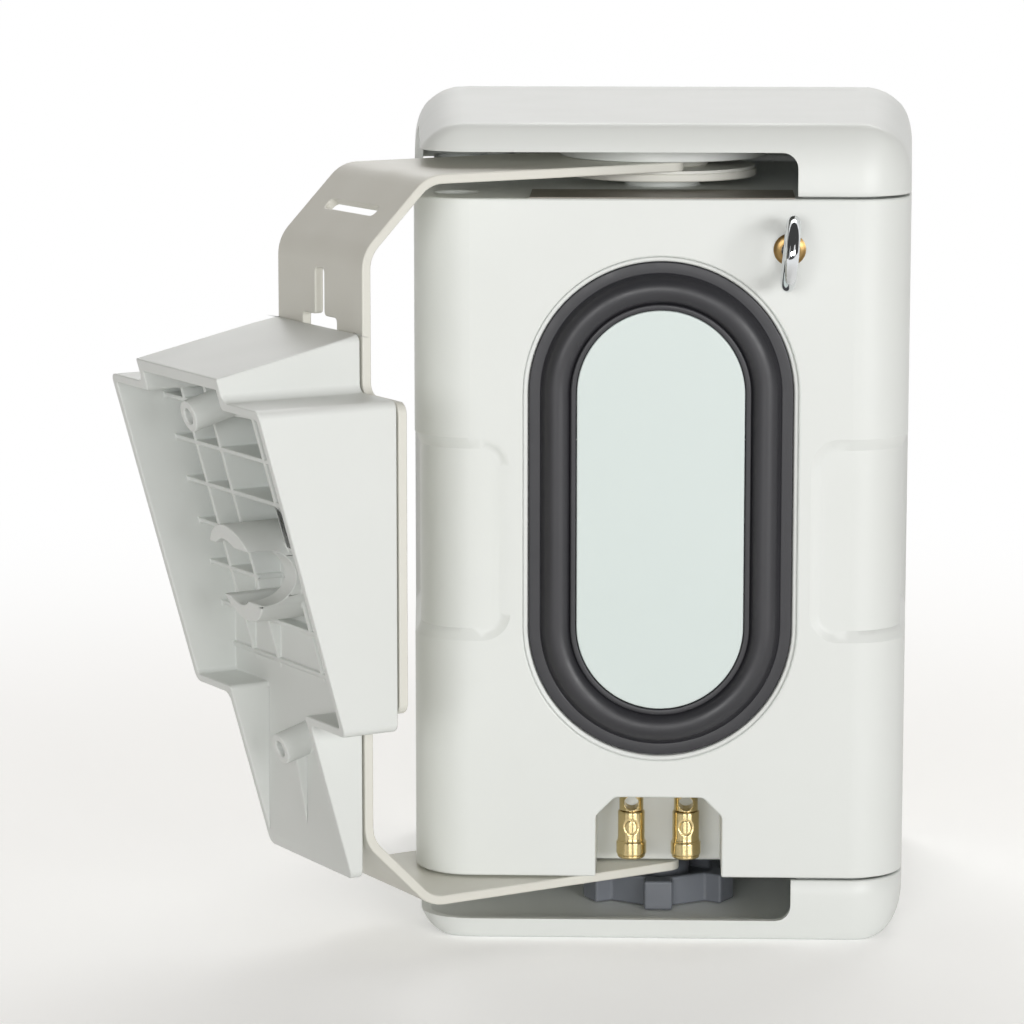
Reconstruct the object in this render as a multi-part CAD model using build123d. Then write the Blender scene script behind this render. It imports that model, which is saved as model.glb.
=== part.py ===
from build123d import *
import math
import os

# Outdoor patio speaker: a moulded cabinet between two hollow caps, a sprung
# passive radiator in the rear panel, and a strap bracket with a wedge shaped
# wall mount that swivels about a vertical axis. Millimetres, +Z up. The origin
# is where the swivel axis meets the base. The rear panel faces +Y.

# Enclosure
REAR_WIDTH = 168.5
FRONT_WIDTH = 187.0
DEPTH = 165.0
REAR_Y = 58.0
REAR_CORNER = 20.0
FRONT_CORNER = 5.0
BOTTOM_CAP_HEIGHT = 22.2
CABINET_HEIGHT = 236.0
TOP_CAP_HEIGHT = 24.0
TOP_RISE = 2.5
SEAM = 0.9
WALL = 4.0

# Caps
CAP_WALL = 3.0
TOP_SIDE_ROUND = 18.0
BOTTOM_SIDE_ROUND = 14.0
CAP_REAR_ROUND = 27.0
TOP_REAR_HEIGHT = 19.0
BOTTOM_REAR_HEIGHT = 13.0
CAP_FLOOR = 2.6
RECESS_END_X = 46.0
RECESS_FRONT_Y = -68.0
RECESS_HEIGHT = 14.7
RECESS_CORNER = 5.0
CAP_BOSS_RADIUS = 5.0
CAP_OVERRUN = 10.0
CAP_SIDE_EASE = 0.5
BASE_TRIM = 0.1
LIP_INSET = 7.5
LIP_THICK = 2.0
LIP_HEIGHT = 2.5
CAP_SCREW_SIDE = 20.0
CAP_SCREW_END = 28.0
CAP_SCREW_FRONT = 8.0
CAP_SCREW_FAR = 14.0

# Front
TRAY_DEPTH = 6.0
GRILLE_SHEET = 1.2
GRILLE_PLAY = 0.6
BAFFLE_SETBACK = 4.0
BAFFLE_THICK = 7.0
BAFFLE_PLAY = 0.3
GASKET_THICK = 1.5
LEDGE_THICK = 6.0
LEDGE_WIDTH = 10.0

# Rear radiator
RADIATOR_HEIGHT_Z = 152.0
TRIM_WIDTH = 94.0
TRIM_LENGTH = 175.0
TRIM_DEPTH = 0.6
SURROUND_WIDTH = 90.4
SURROUND_LENGTH = 171.3
SEAT_DEPTH = 3.2
FLANGE_THICK = 2.0
FLANGE_RIM = 4.2
ROLL_SPAN = 10.5
RUBBER_THICK = 1.4
PISTON_SET = 1.8
PISTON_THICK = 3.5
PISTON_LAP = 2.0
PAD_THICK = 3.0
PAD_RIM = 4.0
WEIGHT_MARGIN = 1.0

# Terminals
NOTCH_WIDTH = 43.6
NOTCH_HEIGHT = 28.2
NOTCH_CHAMFER = 6.6
NOTCH_ROUND = 3.0
NOTCH_DEPTH = 25.0
POST_SPACING = 19.0
POST_SETBACK = 12.0
POST_RADIUS = 4.2
POST_CORE = 3.0
POST_END = 4.2
WIRE_HOLE = 2.5
NUT_BARREL = 4.7
NUT_BARREL_LENGTH = 10.8
NUT_RING = 5.25
NUT_RING_LENGTH = 6.0
THREAD_PLAY = 0.04
HEX_NUT = 5.5
HEX_NUT_THICK = 4.0
COLLAR_THICK = 1.5

# Eye bolt
EYE_X = -43.3
EYE_ABOVE_BOTTOM = 219.0
EYE_RING = 10.6
EYE_WIRE = 2.4
EYE_TILT = 5.0
INSERT_FLANGE = 5.5
INSERT_FLANGE_THICK = 1.0
INSERT_BARREL = 4.6
INSERT_DEPTH = 12.0

# Side grips
GRIP_LENGTH = 70.7
GRIP_CENTRE = 118.6
GRIP_DEPTH = 1.8
GRIP_SLOPE = 4.0
GRIP_INNER_X = 51.3
GRIP_CORNER = 10.0
GRIP_FRONT_Y = -20.0

# Label
LABEL_WIDTH = 90.0
LABEL_DEPTH = 31.0
LABEL_THICK = 0.4
LABEL_MARGIN = 1.0

# Round dimple in the cabinet top
DIMPLE_RADIUS = 7.2
DIMPLE_DEPTH = 2.0
DIMPLE_X = 71.0
DIMPLE_BEHIND = 25.0

# Upper pivot stack, from the cabinet top upwards
PIVOT_BOSS_RADIUS = 20.0
PIVOT_BOSS_HEIGHT = 3.4
UPPER_BOSS_RADIUS = 13.0
PIVOT_PLATE_RADIUS = 33.0
PIVOT_PLATE_THICK = 2.8
WASHER_RADIUS = 32.4
WASHER_THICK = 0.9
CAP_DISC_RADIUS = 36.0
CAP_DISC_PLAY = 0.15
PIN_RADIUS = 6.0
PIN_PLAY = 0.05
PIN_HEAD_RADIUS = 10.0
PIN_HEAD_THICK = 5.0
PIN_END_PLAY = 1.0

# Bracket strap
BRACKET_ANGLE = 32.5
STRAP_THICK = 3.2
STRAP_RADIUS = 135.0
STRAP_WIDTH = 61.0
STRAP_WIDE = 110.0
STRAP_WIDE_BOTTOM = 93.0
STRAP_WIDE_TOP = 197.5
STRAP_LEG = 24.0
STRAP_BEND = 12.0
STRAP_BEND_ANGLE = 45.0
STRAP_CORNER = 4.0
ARM_END = 8.2
ARM_EYE = 16.0
ARM_CORNER = 6.0
SLOT_LENGTH = 35.0
SLOT_WIDTH = 4.2
TEE_NARROW = 6.3
TEE_WIDE = 24.0
TEE_TOP = 237.0
TEE_STEP = 221.0
TEE_BOTTOM = 198.0

# Wall mount
MOUNT_GAP = 1.0
MOUNT_WALL = 3.0
MOUNT_TOP_WALL = 4.4
MOUNT_BASE = 5.5
MOUNT_BOTTOM = 32.3
MOUNT_TOP = 217.7
MOUNT_TOP_SLOPE = 12.0
MOUNT_TILT = 15.8
MOUNT_TOE = 4.0
MOUNT_WIDE = 111.0
MOUNT_NARROW = 61.0
MOUNT_WIDE_BOTTOM = 87.5
MOUNT_WIDE_TOP = 198.5
MOUNT_CORNER = 3.0
PAD_HALF_WIDTH = 20.0
WALL_SCREW_UPPER = 190.0
WALL_SCREW_LOWER = 73.0
SCREW_BOSS = 5.5
SCREW_HOLE = 2.8
DRIVER_ACCESS = 5.0
RIB_THICK = 1.7
RIB_DROP = 16.0
RIB_LEVELS = (100.0, 115.0, 130.0, 145.0, 160.0, 175.0, 190.0)
RIB_OFFSETS = (-37.5, -18.5, 13.5, 35.0)
GUSSET_HEIGHT = 13.0
TOE_GUSSET_BOTTOM = 39.5
TOE_GUSSET_DROP = 5.0
LOCK_HEIGHT = 135.5
LOCK_BOSS = 17.0
LOCK_BORE = 11.5
LOCK_BORE_SHIFT = 3.0
LOCK_DROP = 1.5
LOCK_MOUTH = 18.6
LOCK_SADDLE = 14.0
LOCK_STUD = 4.0
LOCK_HEAD = 7.5
LOCK_HEAD_THICK = 3.0
LOCK_PLAY = 0.3

# Clamp knob, below the lower arm
KNOB_LOBES = 6
KNOB_TURN = 30.0
KNOB_FACET = 25.0
KNOB_REACH = 28.5
KNOB_LOBE_WIDTH = 10.0
KNOB_BOTTOM = 3.4
KNOB_HEIGHT = 10.4
KNOB_RIM = 3.5
KNOB_DISH = 5.0
KNOB_HUB = 11.0
STUD_RADIUS = 4.0
STUD_PLAY = 0.05
SPIGOT_RADIUS = 7.0
SPIGOT_PLAY = 0.05
SPIGOT_SHORT = 0.3
KNOB_INSERT_HEIGHT = 14.0

# Drivers
WOOFER_ABOVE_BOTTOM = 92.0
WOOFER_FLANGE = 70.0
WOOFER_FLANGE_THICK = 3.0
WOOFER_OPENING = 62.0
WOOFER_CONE = 50.0
WOOFER_BASKET_DEPTH = 37.0
BASKET_SHEET = 2.5
BASKET_WINDOWS = 6
TOP_PLATE_THICK = 5.0
MAGNET_THICK = 16.0
MAGNET_RADIUS = 42.0
MAGNET_BORE = 24.0
TOP_PLATE_RADIUS = 36.0
COIL_RADIUS = 12.7
COIL_WALL = 0.8
COIL_GAP = 0.6
COIL_DEPTH = 18.0
DUST_CAP_OVERLAP = 3.0
DUST_CAP_RISE = 6.0
SPIDER_HEIGHT = 6.0
CONE_THICK = 1.0
WOOFER_STROKE = 1.5
TWEETER_ABOVE_BOTTOM = 193.0
TWEETER_FLANGE = 29.0
TWEETER_DOME = 12.5
TWEETER_RING = 4.0
TWEETER_MAGNET = 22.0
TWEETER_DEPTH = 20.0
TWEETER_GROOVE = 5.0
TWEETER_LIFT = 1.0

# Fasteners
SCREW_HEAD = 3.5
SCREW_HEAD_THICK = 2.4
SCREW_SHANK = 1.9
SCREW_LENGTH = 14.0

# Crossover and damping
BOARD_WIDTH = 90.0
BOARD_DEPTH = 50.0
BOARD_THICK = 1.6
BOARD_Y = -46.0
STANDOFF_RADIUS = 3.5
STANDOFF_HEIGHT = 6.0
INDUCTOR_RADIUS = 14.0
INDUCTOR_HEIGHT = 12.0
CAPACITOR_RADIUS = 7.0
CAPACITOR_LENGTH = 28.0
FELT_THICK = 12.0
FELT_MARGIN = 30.0

# Levels and planes that follow from the sizes above
FRONT_Y = REAR_Y - DEPTH
CABINET_BOTTOM = BOTTOM_CAP_HEIGHT + SEAM
CABINET_TOP = CABINET_BOTTOM + CABINET_HEIGHT
TOP_CAP_BOTTOM = CABINET_TOP + SEAM
TOP_CAP_TOP = TOP_CAP_BOTTOM + TOP_CAP_HEIGHT
RIM_Y = FRONT_Y + TRAY_DEPTH
BAFFLE_FRONT = RIM_Y + BAFFLE_SETBACK
BAFFLE_BACK = BAFFLE_FRONT + BAFFLE_THICK
LEDGE_Y = BAFFLE_BACK + GASKET_THICK
INNER_BOTTOM = CABINET_BOTTOM + WALL
INNER_TOP = CABINET_TOP - WALL
PLATE_BOTTOM = CABINET_TOP + PIVOT_BOSS_HEIGHT
PLATE_TOP = PLATE_BOTTOM + PIVOT_PLATE_THICK
UPPER_ARM = PLATE_TOP + WASHER_THICK + STRAP_THICK / 2
LOWER_ARM = CABINET_BOTTOM - WASHER_THICK - STRAP_THICK / 2
CAP_DISC_BOTTOM = UPPER_ARM + STRAP_THICK / 2 + CAP_DISC_PLAY
KNOB_TOP = KNOB_BOTTOM + KNOB_HEIGHT
PIN_TOP = CAP_DISC_BOTTOM + PIN_HEAD_THICK
STRAP_OUTER = STRAP_RADIUS + STRAP_THICK / 2
MOUNT_FACE = STRAP_OUTER + MOUNT_GAP
NOTCH_TOP = CABINET_BOTTOM + NOTCH_HEIGHT
NOTCH_CEILING = NOTCH_TOP + COLLAR_THICK + WALL / 2
POST_Y = REAR_Y - POST_SETBACK
POST_BOTTOM = CABINET_BOTTOM + POST_END
NUT_TOP = POST_BOTTOM + NUT_RING_LENGTH + NUT_BARREL_LENGTH
WOOFER_Z = CABINET_BOTTOM + WOOFER_ABOVE_BOTTOM
TWEETER_Z = CABINET_BOTTOM + TWEETER_ABOVE_BOTTOM
FLANGE_BACK = BAFFLE_FRONT + WOOFER_FLANGE_THICK
BASKET_BACK = FLANGE_BACK + WOOFER_BASKET_DEPTH
CONE_NECK_Y = BASKET_BACK - COIL_DEPTH
CONE_MOUTH_Y = BAFFLE_FRONT + CONE_THICK
DUST_CAP_SEAT = COIL_RADIUS + DUST_CAP_OVERLAP
MAGNET_FRONT = BASKET_BACK + TOP_PLATE_THICK
MAGNET_BACK = MAGNET_FRONT + MAGNET_THICK
SEAT_Y = REAR_Y - SEAT_DEPTH
EYE_Z = CABINET_BOTTOM + EYE_ABOVE_BOTTOM
GRIP_Z = CABINET_BOTTOM + GRIP_CENTRE
PISTON_INSET = FLANGE_RIM + ROLL_SPAN + PISTON_SET
PISTON_WIDTH = SURROUND_WIDTH - 2 * PISTON_INSET
PISTON_LENGTH = SURROUND_LENGTH - 2 * PISTON_INSET
FAR = 400.0

CAP_SCREW_PLACES = (
    (-RECESS_END_X - CAP_SCREW_SIDE, REAR_Y - CAP_SCREW_END),
    (-RECESS_END_X - CAP_SCREW_SIDE, RECESS_FRONT_Y + CAP_SCREW_END),
    (-RECESS_END_X / 2, RECESS_FRONT_Y - CAP_SCREW_FRONT),
    (RECESS_END_X + CAP_SCREW_FAR, RECESS_FRONT_Y - CAP_SCREW_FRONT),
)


# Small building blocks
def block(x0, x1, y0, y1, z0, z1):
    centre = Pos((x0 + x1) / 2, (y0 + y1) / 2, (z0 + z1) / 2)
    return centre * Box(x1 - x0, y1 - y0, z1 - z0)


def post(radius, z0, z1, x=0.0, y=0.0):
    return Pos(x, y, (z0 + z1) / 2) * Cylinder(radius, z1 - z0)


def rod(radius, y0, y1, x=0.0, z=0.0):
    """A cylinder along Y."""
    return Pos(x, (y0 + y1) / 2, z) * Rot(90, 0, 0) * Cylinder(radius, y1 - y0)


def turned(points, x=0.0, z=0.0):
    """A solid turned about a line along Y, from (radius, y) points."""
    face = make_face(Polyline(*points, close=True))
    solid = revolve(face, axis=Axis.Y)
    return Pos(x, 0, z) * solid


def obround(width, length, y0, y1):
    """An upright round-ended bar on the radiator's centre, between two depths."""
    plane = Plane(origin=(0, y0, RADIATOR_HEIGHT_Z), x_dir=(1, 0, 0), z_dir=(0, 1, 0))
    return extrude(plane * SlotOverall(length, width, rotation=90), amount=y1 - y0)


def plan_face(inset=0.0, z=0.0):
    """The flared plan of the enclosure with rounded corners, drawn inwards by inset."""
    half_rear = REAR_WIDTH / 2 - inset
    half_front = FRONT_WIDTH / 2 - inset
    face = make_face(Polyline(
        (half_rear, REAR_Y - inset),
        (-half_rear, REAR_Y - inset),
        (-half_front, FRONT_Y + inset),
        (half_front, FRONT_Y + inset),
        close=True,
    ))
    face = fillet(face.vertices().group_by(Axis.Y)[-1], max(REAR_CORNER - inset, 1.0))
    face = fillet(face.vertices().group_by(Axis.Y)[0], max(FRONT_CORNER - inset, 1.0))
    return Pos(0, 0, z) * face


def plan_prism(inset, z0, z1):
    return extrude(plan_face(inset, z0), amount=z1 - z0)


def slab_y(y0, y1):
    return block(-FAR, FAR, y0, y1, -FAR, FAR)


def half_width(y):
    """Half of the flared width at a depth."""
    share = (REAR_Y - y) / DEPTH
    return (REAR_WIDTH + (FRONT_WIDTH - REAR_WIDTH) * share) / 2


def cap_section(y, inset, z_open, z_closed, radius):
    """A cap's section across X at one depth, with its two closed corners rounded."""
    half = half_width(y) - inset
    plane = Plane(origin=(0, y, 0), x_dir=(1, 0, 0), z_dir=(0, -1, 0))
    face = make_face(Polyline(
        (-half, z_open), (half, z_open), (half, z_closed), (-half, z_closed), close=True))
    low_to_high = face.vertices().group_by(Axis.Y)
    corners = low_to_high[-1] if z_closed > z_open else low_to_high[0]
    return plane * fillet(corners, radius)


def cap_form(inset, z_open, z_rear, rise, radius):
    """A cap's solid form: its flared rounded sections, trimmed to the rounded plan."""
    ends = []
    for y in (REAR_Y + CAP_OVERRUN, FRONT_Y - CAP_OVERRUN):
        z_closed = z_rear + rise * (REAR_Y - y) / DEPTH
        ends.append(cap_section(y, inset, z_open, z_closed, radius))
    form = loft(ends, ruled=True)
    low = min(z_open, z_rear) - CAP_OVERRUN
    high = max(z_open, z_rear) + CAP_OVERRUN
    plan = plan_face(inset - CAP_SIDE_EASE, low)
    trim = extrude(plan, amount=high - low)
    return form & trim & slab_y(FRONT_Y + inset, REAR_Y - inset)


def cap_recess(z0, z1, round_at_top):
    """The swing room for a bracket arm, open to the rear and to +X."""
    room = block(-RECESS_END_X, FAR, RECESS_FRONT_Y, FAR, z0, z1)
    end_edges = room.edges().filter_by(Axis.Y).group_by(Axis.X)[0].sort_by(Axis.Z)
    room = fillet(end_edges[-1 if round_at_top else 0], RECESS_CORNER)
    front_edges = room.edges().filter_by(Axis.X).group_by(Axis.Y)[0].sort_by(Axis.Z)
    return fillet(front_edges[-1 if round_at_top else 0], RECESS_CORNER)


def rear_round(inset, z_closed, height):
    """What a cap loses behind its round rear face, which begins a height from its closed level."""
    y = REAR_Y - CAP_REAR_ROUND
    z = z_closed - height
    beyond = z + math.copysign(FAR, height)
    corner = block(-FAR, FAR, y, FAR, min(z, beyond), max(z, beyond))
    return corner - Pos(0, y, z) * Rot(0, 90, 0) * Cylinder(CAP_REAR_ROUND - inset, 2 * FAR)


def skin_middle(y):
    """Height of the middle of the top cap's sloping skin at a depth."""
    return TOP_CAP_TOP + TOP_RISE * (REAR_Y - y) / DEPTH - CAP_WALL / 2


def make_top_cap():
    outer = cap_form(0, TOP_CAP_BOTTOM, TOP_CAP_TOP, TOP_RISE, TOP_SIDE_ROUND)
    inner = cap_form(CAP_WALL, TOP_CAP_BOTTOM - CAP_OVERRUN, TOP_CAP_TOP - CAP_WALL,
                     TOP_RISE, TOP_SIDE_ROUND - CAP_WALL)
    outer -= rear_round(0, TOP_CAP_TOP, TOP_REAR_HEIGHT)
    inner -= rear_round(CAP_WALL, TOP_CAP_TOP, TOP_REAR_HEIGHT)
    cap = outer - inner
    cap -= cap_recess(TOP_CAP_BOTTOM - CAP_OVERRUN, TOP_CAP_BOTTOM + RECESS_HEIGHT, True)
    bosses = post(CAP_DISC_RADIUS, CAP_DISC_BOTTOM, skin_middle(0))
    for x, y in CAP_SCREW_PLACES:
        bosses += post(CAP_BOSS_RADIUS, CABINET_TOP, skin_middle(y), x, y)
    cap += bosses
    cap -= post(PIN_RADIUS + PIN_PLAY, CAP_DISC_BOTTOM - 1, PIN_TOP)
    for x, y in CAP_SCREW_PLACES:
        cap -= post(SCREW_SHANK, CABINET_TOP - 1, CABINET_TOP + SCREW_LENGTH, x, y)
    return cap


def make_bottom_cap():
    outer = cap_form(0, BOTTOM_CAP_HEIGHT, -BASE_TRIM, 0, BOTTOM_SIDE_ROUND)
    outer &= block(-FAR, FAR, -FAR, FAR, 0, FAR)
    inner = cap_form(CAP_WALL, BOTTOM_CAP_HEIGHT + CAP_OVERRUN, CAP_FLOOR, 0,
                     BOTTOM_SIDE_ROUND - CAP_WALL)
    outer -= rear_round(0, 0, -BOTTOM_REAR_HEIGHT)
    inner -= rear_round(CAP_WALL, 0, -BOTTOM_REAR_HEIGHT)
    cap = outer - inner
    cap -= cap_recess(BOTTOM_CAP_HEIGHT - RECESS_HEIGHT, BOTTOM_CAP_HEIGHT + CAP_OVERRUN, False)
    for x, y in CAP_SCREW_PLACES:
        cap += post(CAP_BOSS_RADIUS, CAP_FLOOR / 2, CABINET_BOTTOM, x, y)
    for x, y in CAP_SCREW_PLACES:
        cap -= post(SCREW_SHANK, CABINET_BOTTOM - SCREW_LENGTH, CABINET_BOTTOM + 1, x, y)
    return cap


def grip_slope_side():
    """Plan of one grip's room beside the rear panel, with a sloping front end."""
    x0 = REAR_WIDTH / 2 - REAR_CORNER
    run = GRIP_SLOPE / GRIP_DEPTH
    x1 = half_width(GRIP_FRONT_Y)
    reach = x1 - x0
    return make_face(Polyline(
        (x0, REAR_Y + 1), (x0, GRIP_FRONT_Y + run * reach), (x1 + 1, GRIP_FRONT_Y - run),
        (FAR, GRIP_FRONT_Y - run), (FAR, REAR_Y + 1), close=True))


def make_grip_cut():
    """Shallow hand grips with sloping edges that wrap from the sides onto the rear panel."""
    z0 = GRIP_Z - GRIP_LENGTH / 2
    z1 = GRIP_Z + GRIP_LENGTH / 2
    angle = math.degrees(math.atan2(GRIP_DEPTH, GRIP_SLOPE))
    # Round the side: what is left is the enclosure drawn in between two sloping ends
    core = plan_prism(GRIP_DEPTH, z0, z1)
    for level, turn in ((z0, 1), (z1, -1)):
        core += extrude(plan_face(0, level), amount=turn * GRIP_SLOPE, taper=angle)
    ring = plan_prism(-GRIP_DEPTH, z0, z1) - core
    side = ring & extrude(Pos(0, 0, z0) * grip_slope_side(), amount=GRIP_LENGTH)
    # On the rear panel: a rounded window with sloping edges
    x0 = GRIP_INNER_X
    x1 = REAR_WIDTH / 2 + GRIP_CORNER
    plane = Plane(origin=((x0 + x1) / 2, REAR_Y, GRIP_Z), x_dir=(1, 0, 0), z_dir=(0, -1, 0))
    window = plane * RectangleRounded(x1 - x0, GRIP_LENGTH, GRIP_CORNER)
    rear = extrude(window, amount=GRIP_DEPTH, taper=90 - angle)
    rear &= block(0, REAR_WIDTH / 2 - REAR_CORNER, -FAR, FAR, z0, z1)
    grip = side + rear
    return grip + mirror(grip, about=Plane.YZ)


def make_notch():
    """The terminal recess: a chamfered mouth in the rear panel and a room behind it."""
    half = NOTCH_WIDTH / 2
    low = CABINET_BOTTOM - 1
    plane = Plane(origin=(0, REAR_Y + 1, 0), x_dir=(1, 0, 0), z_dir=(0, -1, 0))
    mouth = make_face(Polyline(
        (-half, low), (half, low), (half, NOTCH_TOP - NOTCH_CHAMFER),
        (half - NOTCH_CHAMFER, NOTCH_TOP), (-half + NOTCH_CHAMFER, NOTCH_TOP),
        (-half, NOTCH_TOP - NOTCH_CHAMFER), close=True))
    bends = mouth.vertices().sort_by(Axis.Y)[2:]
    mouth = extrude(plane * fillet(bends, NOTCH_ROUND), amount=WALL + 2)
    room = block(-half, half, REAR_Y - NOTCH_DEPTH, REAR_Y - WALL, low, NOTCH_CEILING)
    return mouth + room


def make_cap_lip(z0, z1):
    """A low wall that centres a cap and closes its seam, left out beside the bracket arm."""
    ring = plan_prism(LIP_INSET, z0, z1) - plan_prism(LIP_INSET + LIP_THICK, z0 - 1, z1 + 1)
    swing = block(-RECESS_END_X - LIP_THICK, FAR, RECESS_FRONT_Y - LIP_THICK, FAR, z0 - 1, z1 + 1)
    return ring - swing


def make_cabinet_shell():
    shell = plan_prism(0, CABINET_BOTTOM, CABINET_TOP) & slab_y(RIM_Y, FAR)
    cavity = plan_prism(WALL, INNER_BOTTOM, INNER_TOP)
    mouth = cavity & slab_y(-FAR, LEDGE_Y)
    throat = plan_prism(WALL + LEDGE_WIDTH, INNER_BOTTOM + LEDGE_WIDTH, INNER_TOP - LEDGE_WIDTH)
    back_room = cavity & slab_y(LEDGE_Y + LEDGE_THICK, FAR)
    front_cut = plan_prism(WALL, INNER_BOTTOM, INNER_TOP) & slab_y(-FAR, RIM_Y + 1)
    shell = shell - mouth - (throat & slab_y(-FAR, REAR_Y - WALL)) - back_room - front_cut
    # Thick places that carry other pieces
    pad_y = REAR_Y - WALL
    shell += obround(SURROUND_WIDTH + 2 * PAD_RIM, SURROUND_LENGTH + 2 * PAD_RIM,
                     pad_y - PAD_THICK, pad_y)
    half = NOTCH_WIDTH / 2 + WALL
    shell += block(-half, half, REAR_Y - NOTCH_DEPTH - WALL, pad_y,
                   INNER_BOTTOM, NOTCH_CEILING + WALL)
    shell += rod(INSERT_BARREL + WALL, REAR_Y - INSERT_DEPTH, pad_y, EYE_X, EYE_Z)
    shell += post(UPPER_BOSS_RADIUS, CABINET_TOP, PLATE_BOTTOM)
    shell += post(SPIGOT_RADIUS + 2 * WALL, INNER_BOTTOM, CABINET_BOTTOM + KNOB_INSERT_HEIGHT)
    for x, y in board_corners():
        shell += post(STANDOFF_RADIUS, INNER_BOTTOM, INNER_BOTTOM + STANDOFF_HEIGHT, x, y)
    shell += make_cap_lip(CABINET_TOP, CABINET_TOP + LIP_HEIGHT)
    shell += make_cap_lip(CABINET_BOTTOM - LIP_HEIGHT, CABINET_BOTTOM)
    # Openings
    shell -= obround(TRIM_WIDTH, TRIM_LENGTH, REAR_Y - TRIM_DEPTH, REAR_Y + 1)
    play = 2 * BAFFLE_PLAY
    shell -= obround(SURROUND_WIDTH + play, SURROUND_LENGTH + play, SEAT_Y, REAR_Y + 1)
    throat_inset = 2 * (FLANGE_RIM + BAFFLE_PLAY)
    shell -= obround(SURROUND_WIDTH - throat_inset, SURROUND_LENGTH - throat_inset,
                     pad_y - PAD_THICK - 1, REAR_Y + 1)
    shell -= make_notch()
    shell -= make_grip_cut()
    shell -= rod(INSERT_BARREL, REAR_Y - INSERT_DEPTH - 1, REAR_Y + 1, EYE_X, EYE_Z)
    shell -= post(PIN_RADIUS + PIN_PLAY, INNER_TOP - 1, PLATE_BOTTOM + 1)
    shell -= post(DIMPLE_RADIUS, CABINET_TOP - DIMPLE_DEPTH, CABINET_TOP + 1, DIMPLE_X,
                  REAR_Y - DIMPLE_BEHIND)
    bush_top = CABINET_BOTTOM + KNOB_INSERT_HEIGHT
    shell -= post(SPIGOT_RADIUS + WALL, CABINET_BOTTOM - 1, bush_top + 1)
    for x in post_places():
        shell -= post(POST_CORE + THREAD_PLAY, NOTCH_CEILING - 1, NOTCH_CEILING + WALL + 1,
                      x, POST_Y)
    for x, y in CAP_SCREW_PLACES:
        shell -= post(SCREW_SHANK, INNER_TOP - 1, CABINET_TOP + 1, x, y)
        shell -= post(SCREW_SHANK, CABINET_BOTTOM - 1, INNER_BOTTOM + 1, x, y)
    for x, z in baffle_screw_places():
        shell -= rod(SCREW_SHANK, LEDGE_Y - 1, LEDGE_Y + LEDGE_THICK + 1, x, z)
    return shell


def board_corners():
    places = []
    for x in (-1, 1):
        for y in (-1, 1):
            inset = 2 * STANDOFF_RADIUS
            places.append((x * (BOARD_WIDTH / 2 - inset), BOARD_Y + y * (BOARD_DEPTH / 2 - inset)))
    return places


def post_places():
    return (-POST_SPACING / 2, POST_SPACING / 2)


def baffle_screw_places():
    """Six screws around the baffle, over the middle of the ledge."""
    x = half_width(LEDGE_Y) - WALL - LEDGE_WIDTH / 2
    middle = (INNER_BOTTOM + INNER_TOP) / 2
    edge = LEDGE_WIDTH / 2
    places = []
    for side in (-x, x):
        for z in (INNER_BOTTOM + edge, middle, INNER_TOP - edge):
            places.append((side, z))
    return places


def driver_screw_places():
    """Four screws through the rim of each driver, halfway between rim and opening."""
    places = []
    for z, flange, opening in (
        (WOOFER_Z, WOOFER_FLANGE, WOOFER_OPENING),
        (TWEETER_Z, TWEETER_FLANGE, TWEETER_MAGNET),
    ):
        reach = (flange + opening) / 2 * math.sqrt(0.5)
        for x_side in (-1, 1):
            for z_side in (-1, 1):
                places.append((x_side * reach, z + z_side * reach))
    return places


def cut_driver_screws(solid):
    for x, z in driver_screw_places():
        solid -= rod(SCREW_SHANK, BAFFLE_FRONT - 1, BAFFLE_BACK + 1, x, z)
    return solid


def make_driver_screws():
    screws = []
    for x, z in driver_screw_places():
        head = rod(SCREW_HEAD, BAFFLE_FRONT - SCREW_HEAD_THICK, BAFFLE_FRONT, x, z)
        screws.append(head + rod(SCREW_SHANK - THREAD_PLAY, BAFFLE_FRONT, BAFFLE_BACK, x, z))
    return Compound(children=screws)


def make_front_baffle():
    plate = plan_prism(WALL + BAFFLE_PLAY, INNER_BOTTOM + BAFFLE_PLAY, INNER_TOP - BAFFLE_PLAY)
    plate &= slab_y(BAFFLE_FRONT, BAFFLE_BACK)
    for z, flange, opening in (
        (WOOFER_Z, WOOFER_FLANGE, WOOFER_OPENING),
        (TWEETER_Z, TWEETER_FLANGE, TWEETER_MAGNET),
    ):
        plate -= rod(flange + BAFFLE_PLAY, BAFFLE_FRONT - 1, FLANGE_BACK, 0, z)
        plate -= rod(opening + BAFFLE_PLAY, BAFFLE_FRONT, BAFFLE_BACK + 1, 0, z)
    for x, z in baffle_screw_places():
        plate -= rod(SCREW_SHANK + BAFFLE_PLAY, BAFFLE_FRONT - 1, BAFFLE_BACK + 1, x, z)
    return cut_driver_screws(plate)


def make_baffle_gasket():
    outer = plan_prism(WALL + BAFFLE_PLAY, INNER_BOTTOM + BAFFLE_PLAY, INNER_TOP - BAFFLE_PLAY)
    inset = WALL + LEDGE_WIDTH
    inner = plan_prism(inset, INNER_BOTTOM + LEDGE_WIDTH, INNER_TOP - LEDGE_WIDTH)
    gasket = (outer - inner) & slab_y(BAFFLE_BACK, LEDGE_Y)
    for x, z in baffle_screw_places():
        gasket -= rod(SCREW_SHANK + BAFFLE_PLAY, BAFFLE_BACK - 1, LEDGE_Y + 1, x, z)
    return gasket


def make_front_grille():
    z0 = CABINET_BOTTOM + GRILLE_PLAY
    z1 = CABINET_TOP - GRILLE_PLAY
    tray = plan_prism(0, z0, z1) & slab_y(-FAR, RIM_Y)
    hollow = plan_prism(GRILLE_SHEET, z0 + GRILLE_SHEET, z1 - GRILLE_SHEET)
    return tray - (hollow & slab_y(-FAR, RIM_Y + 1))


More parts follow.
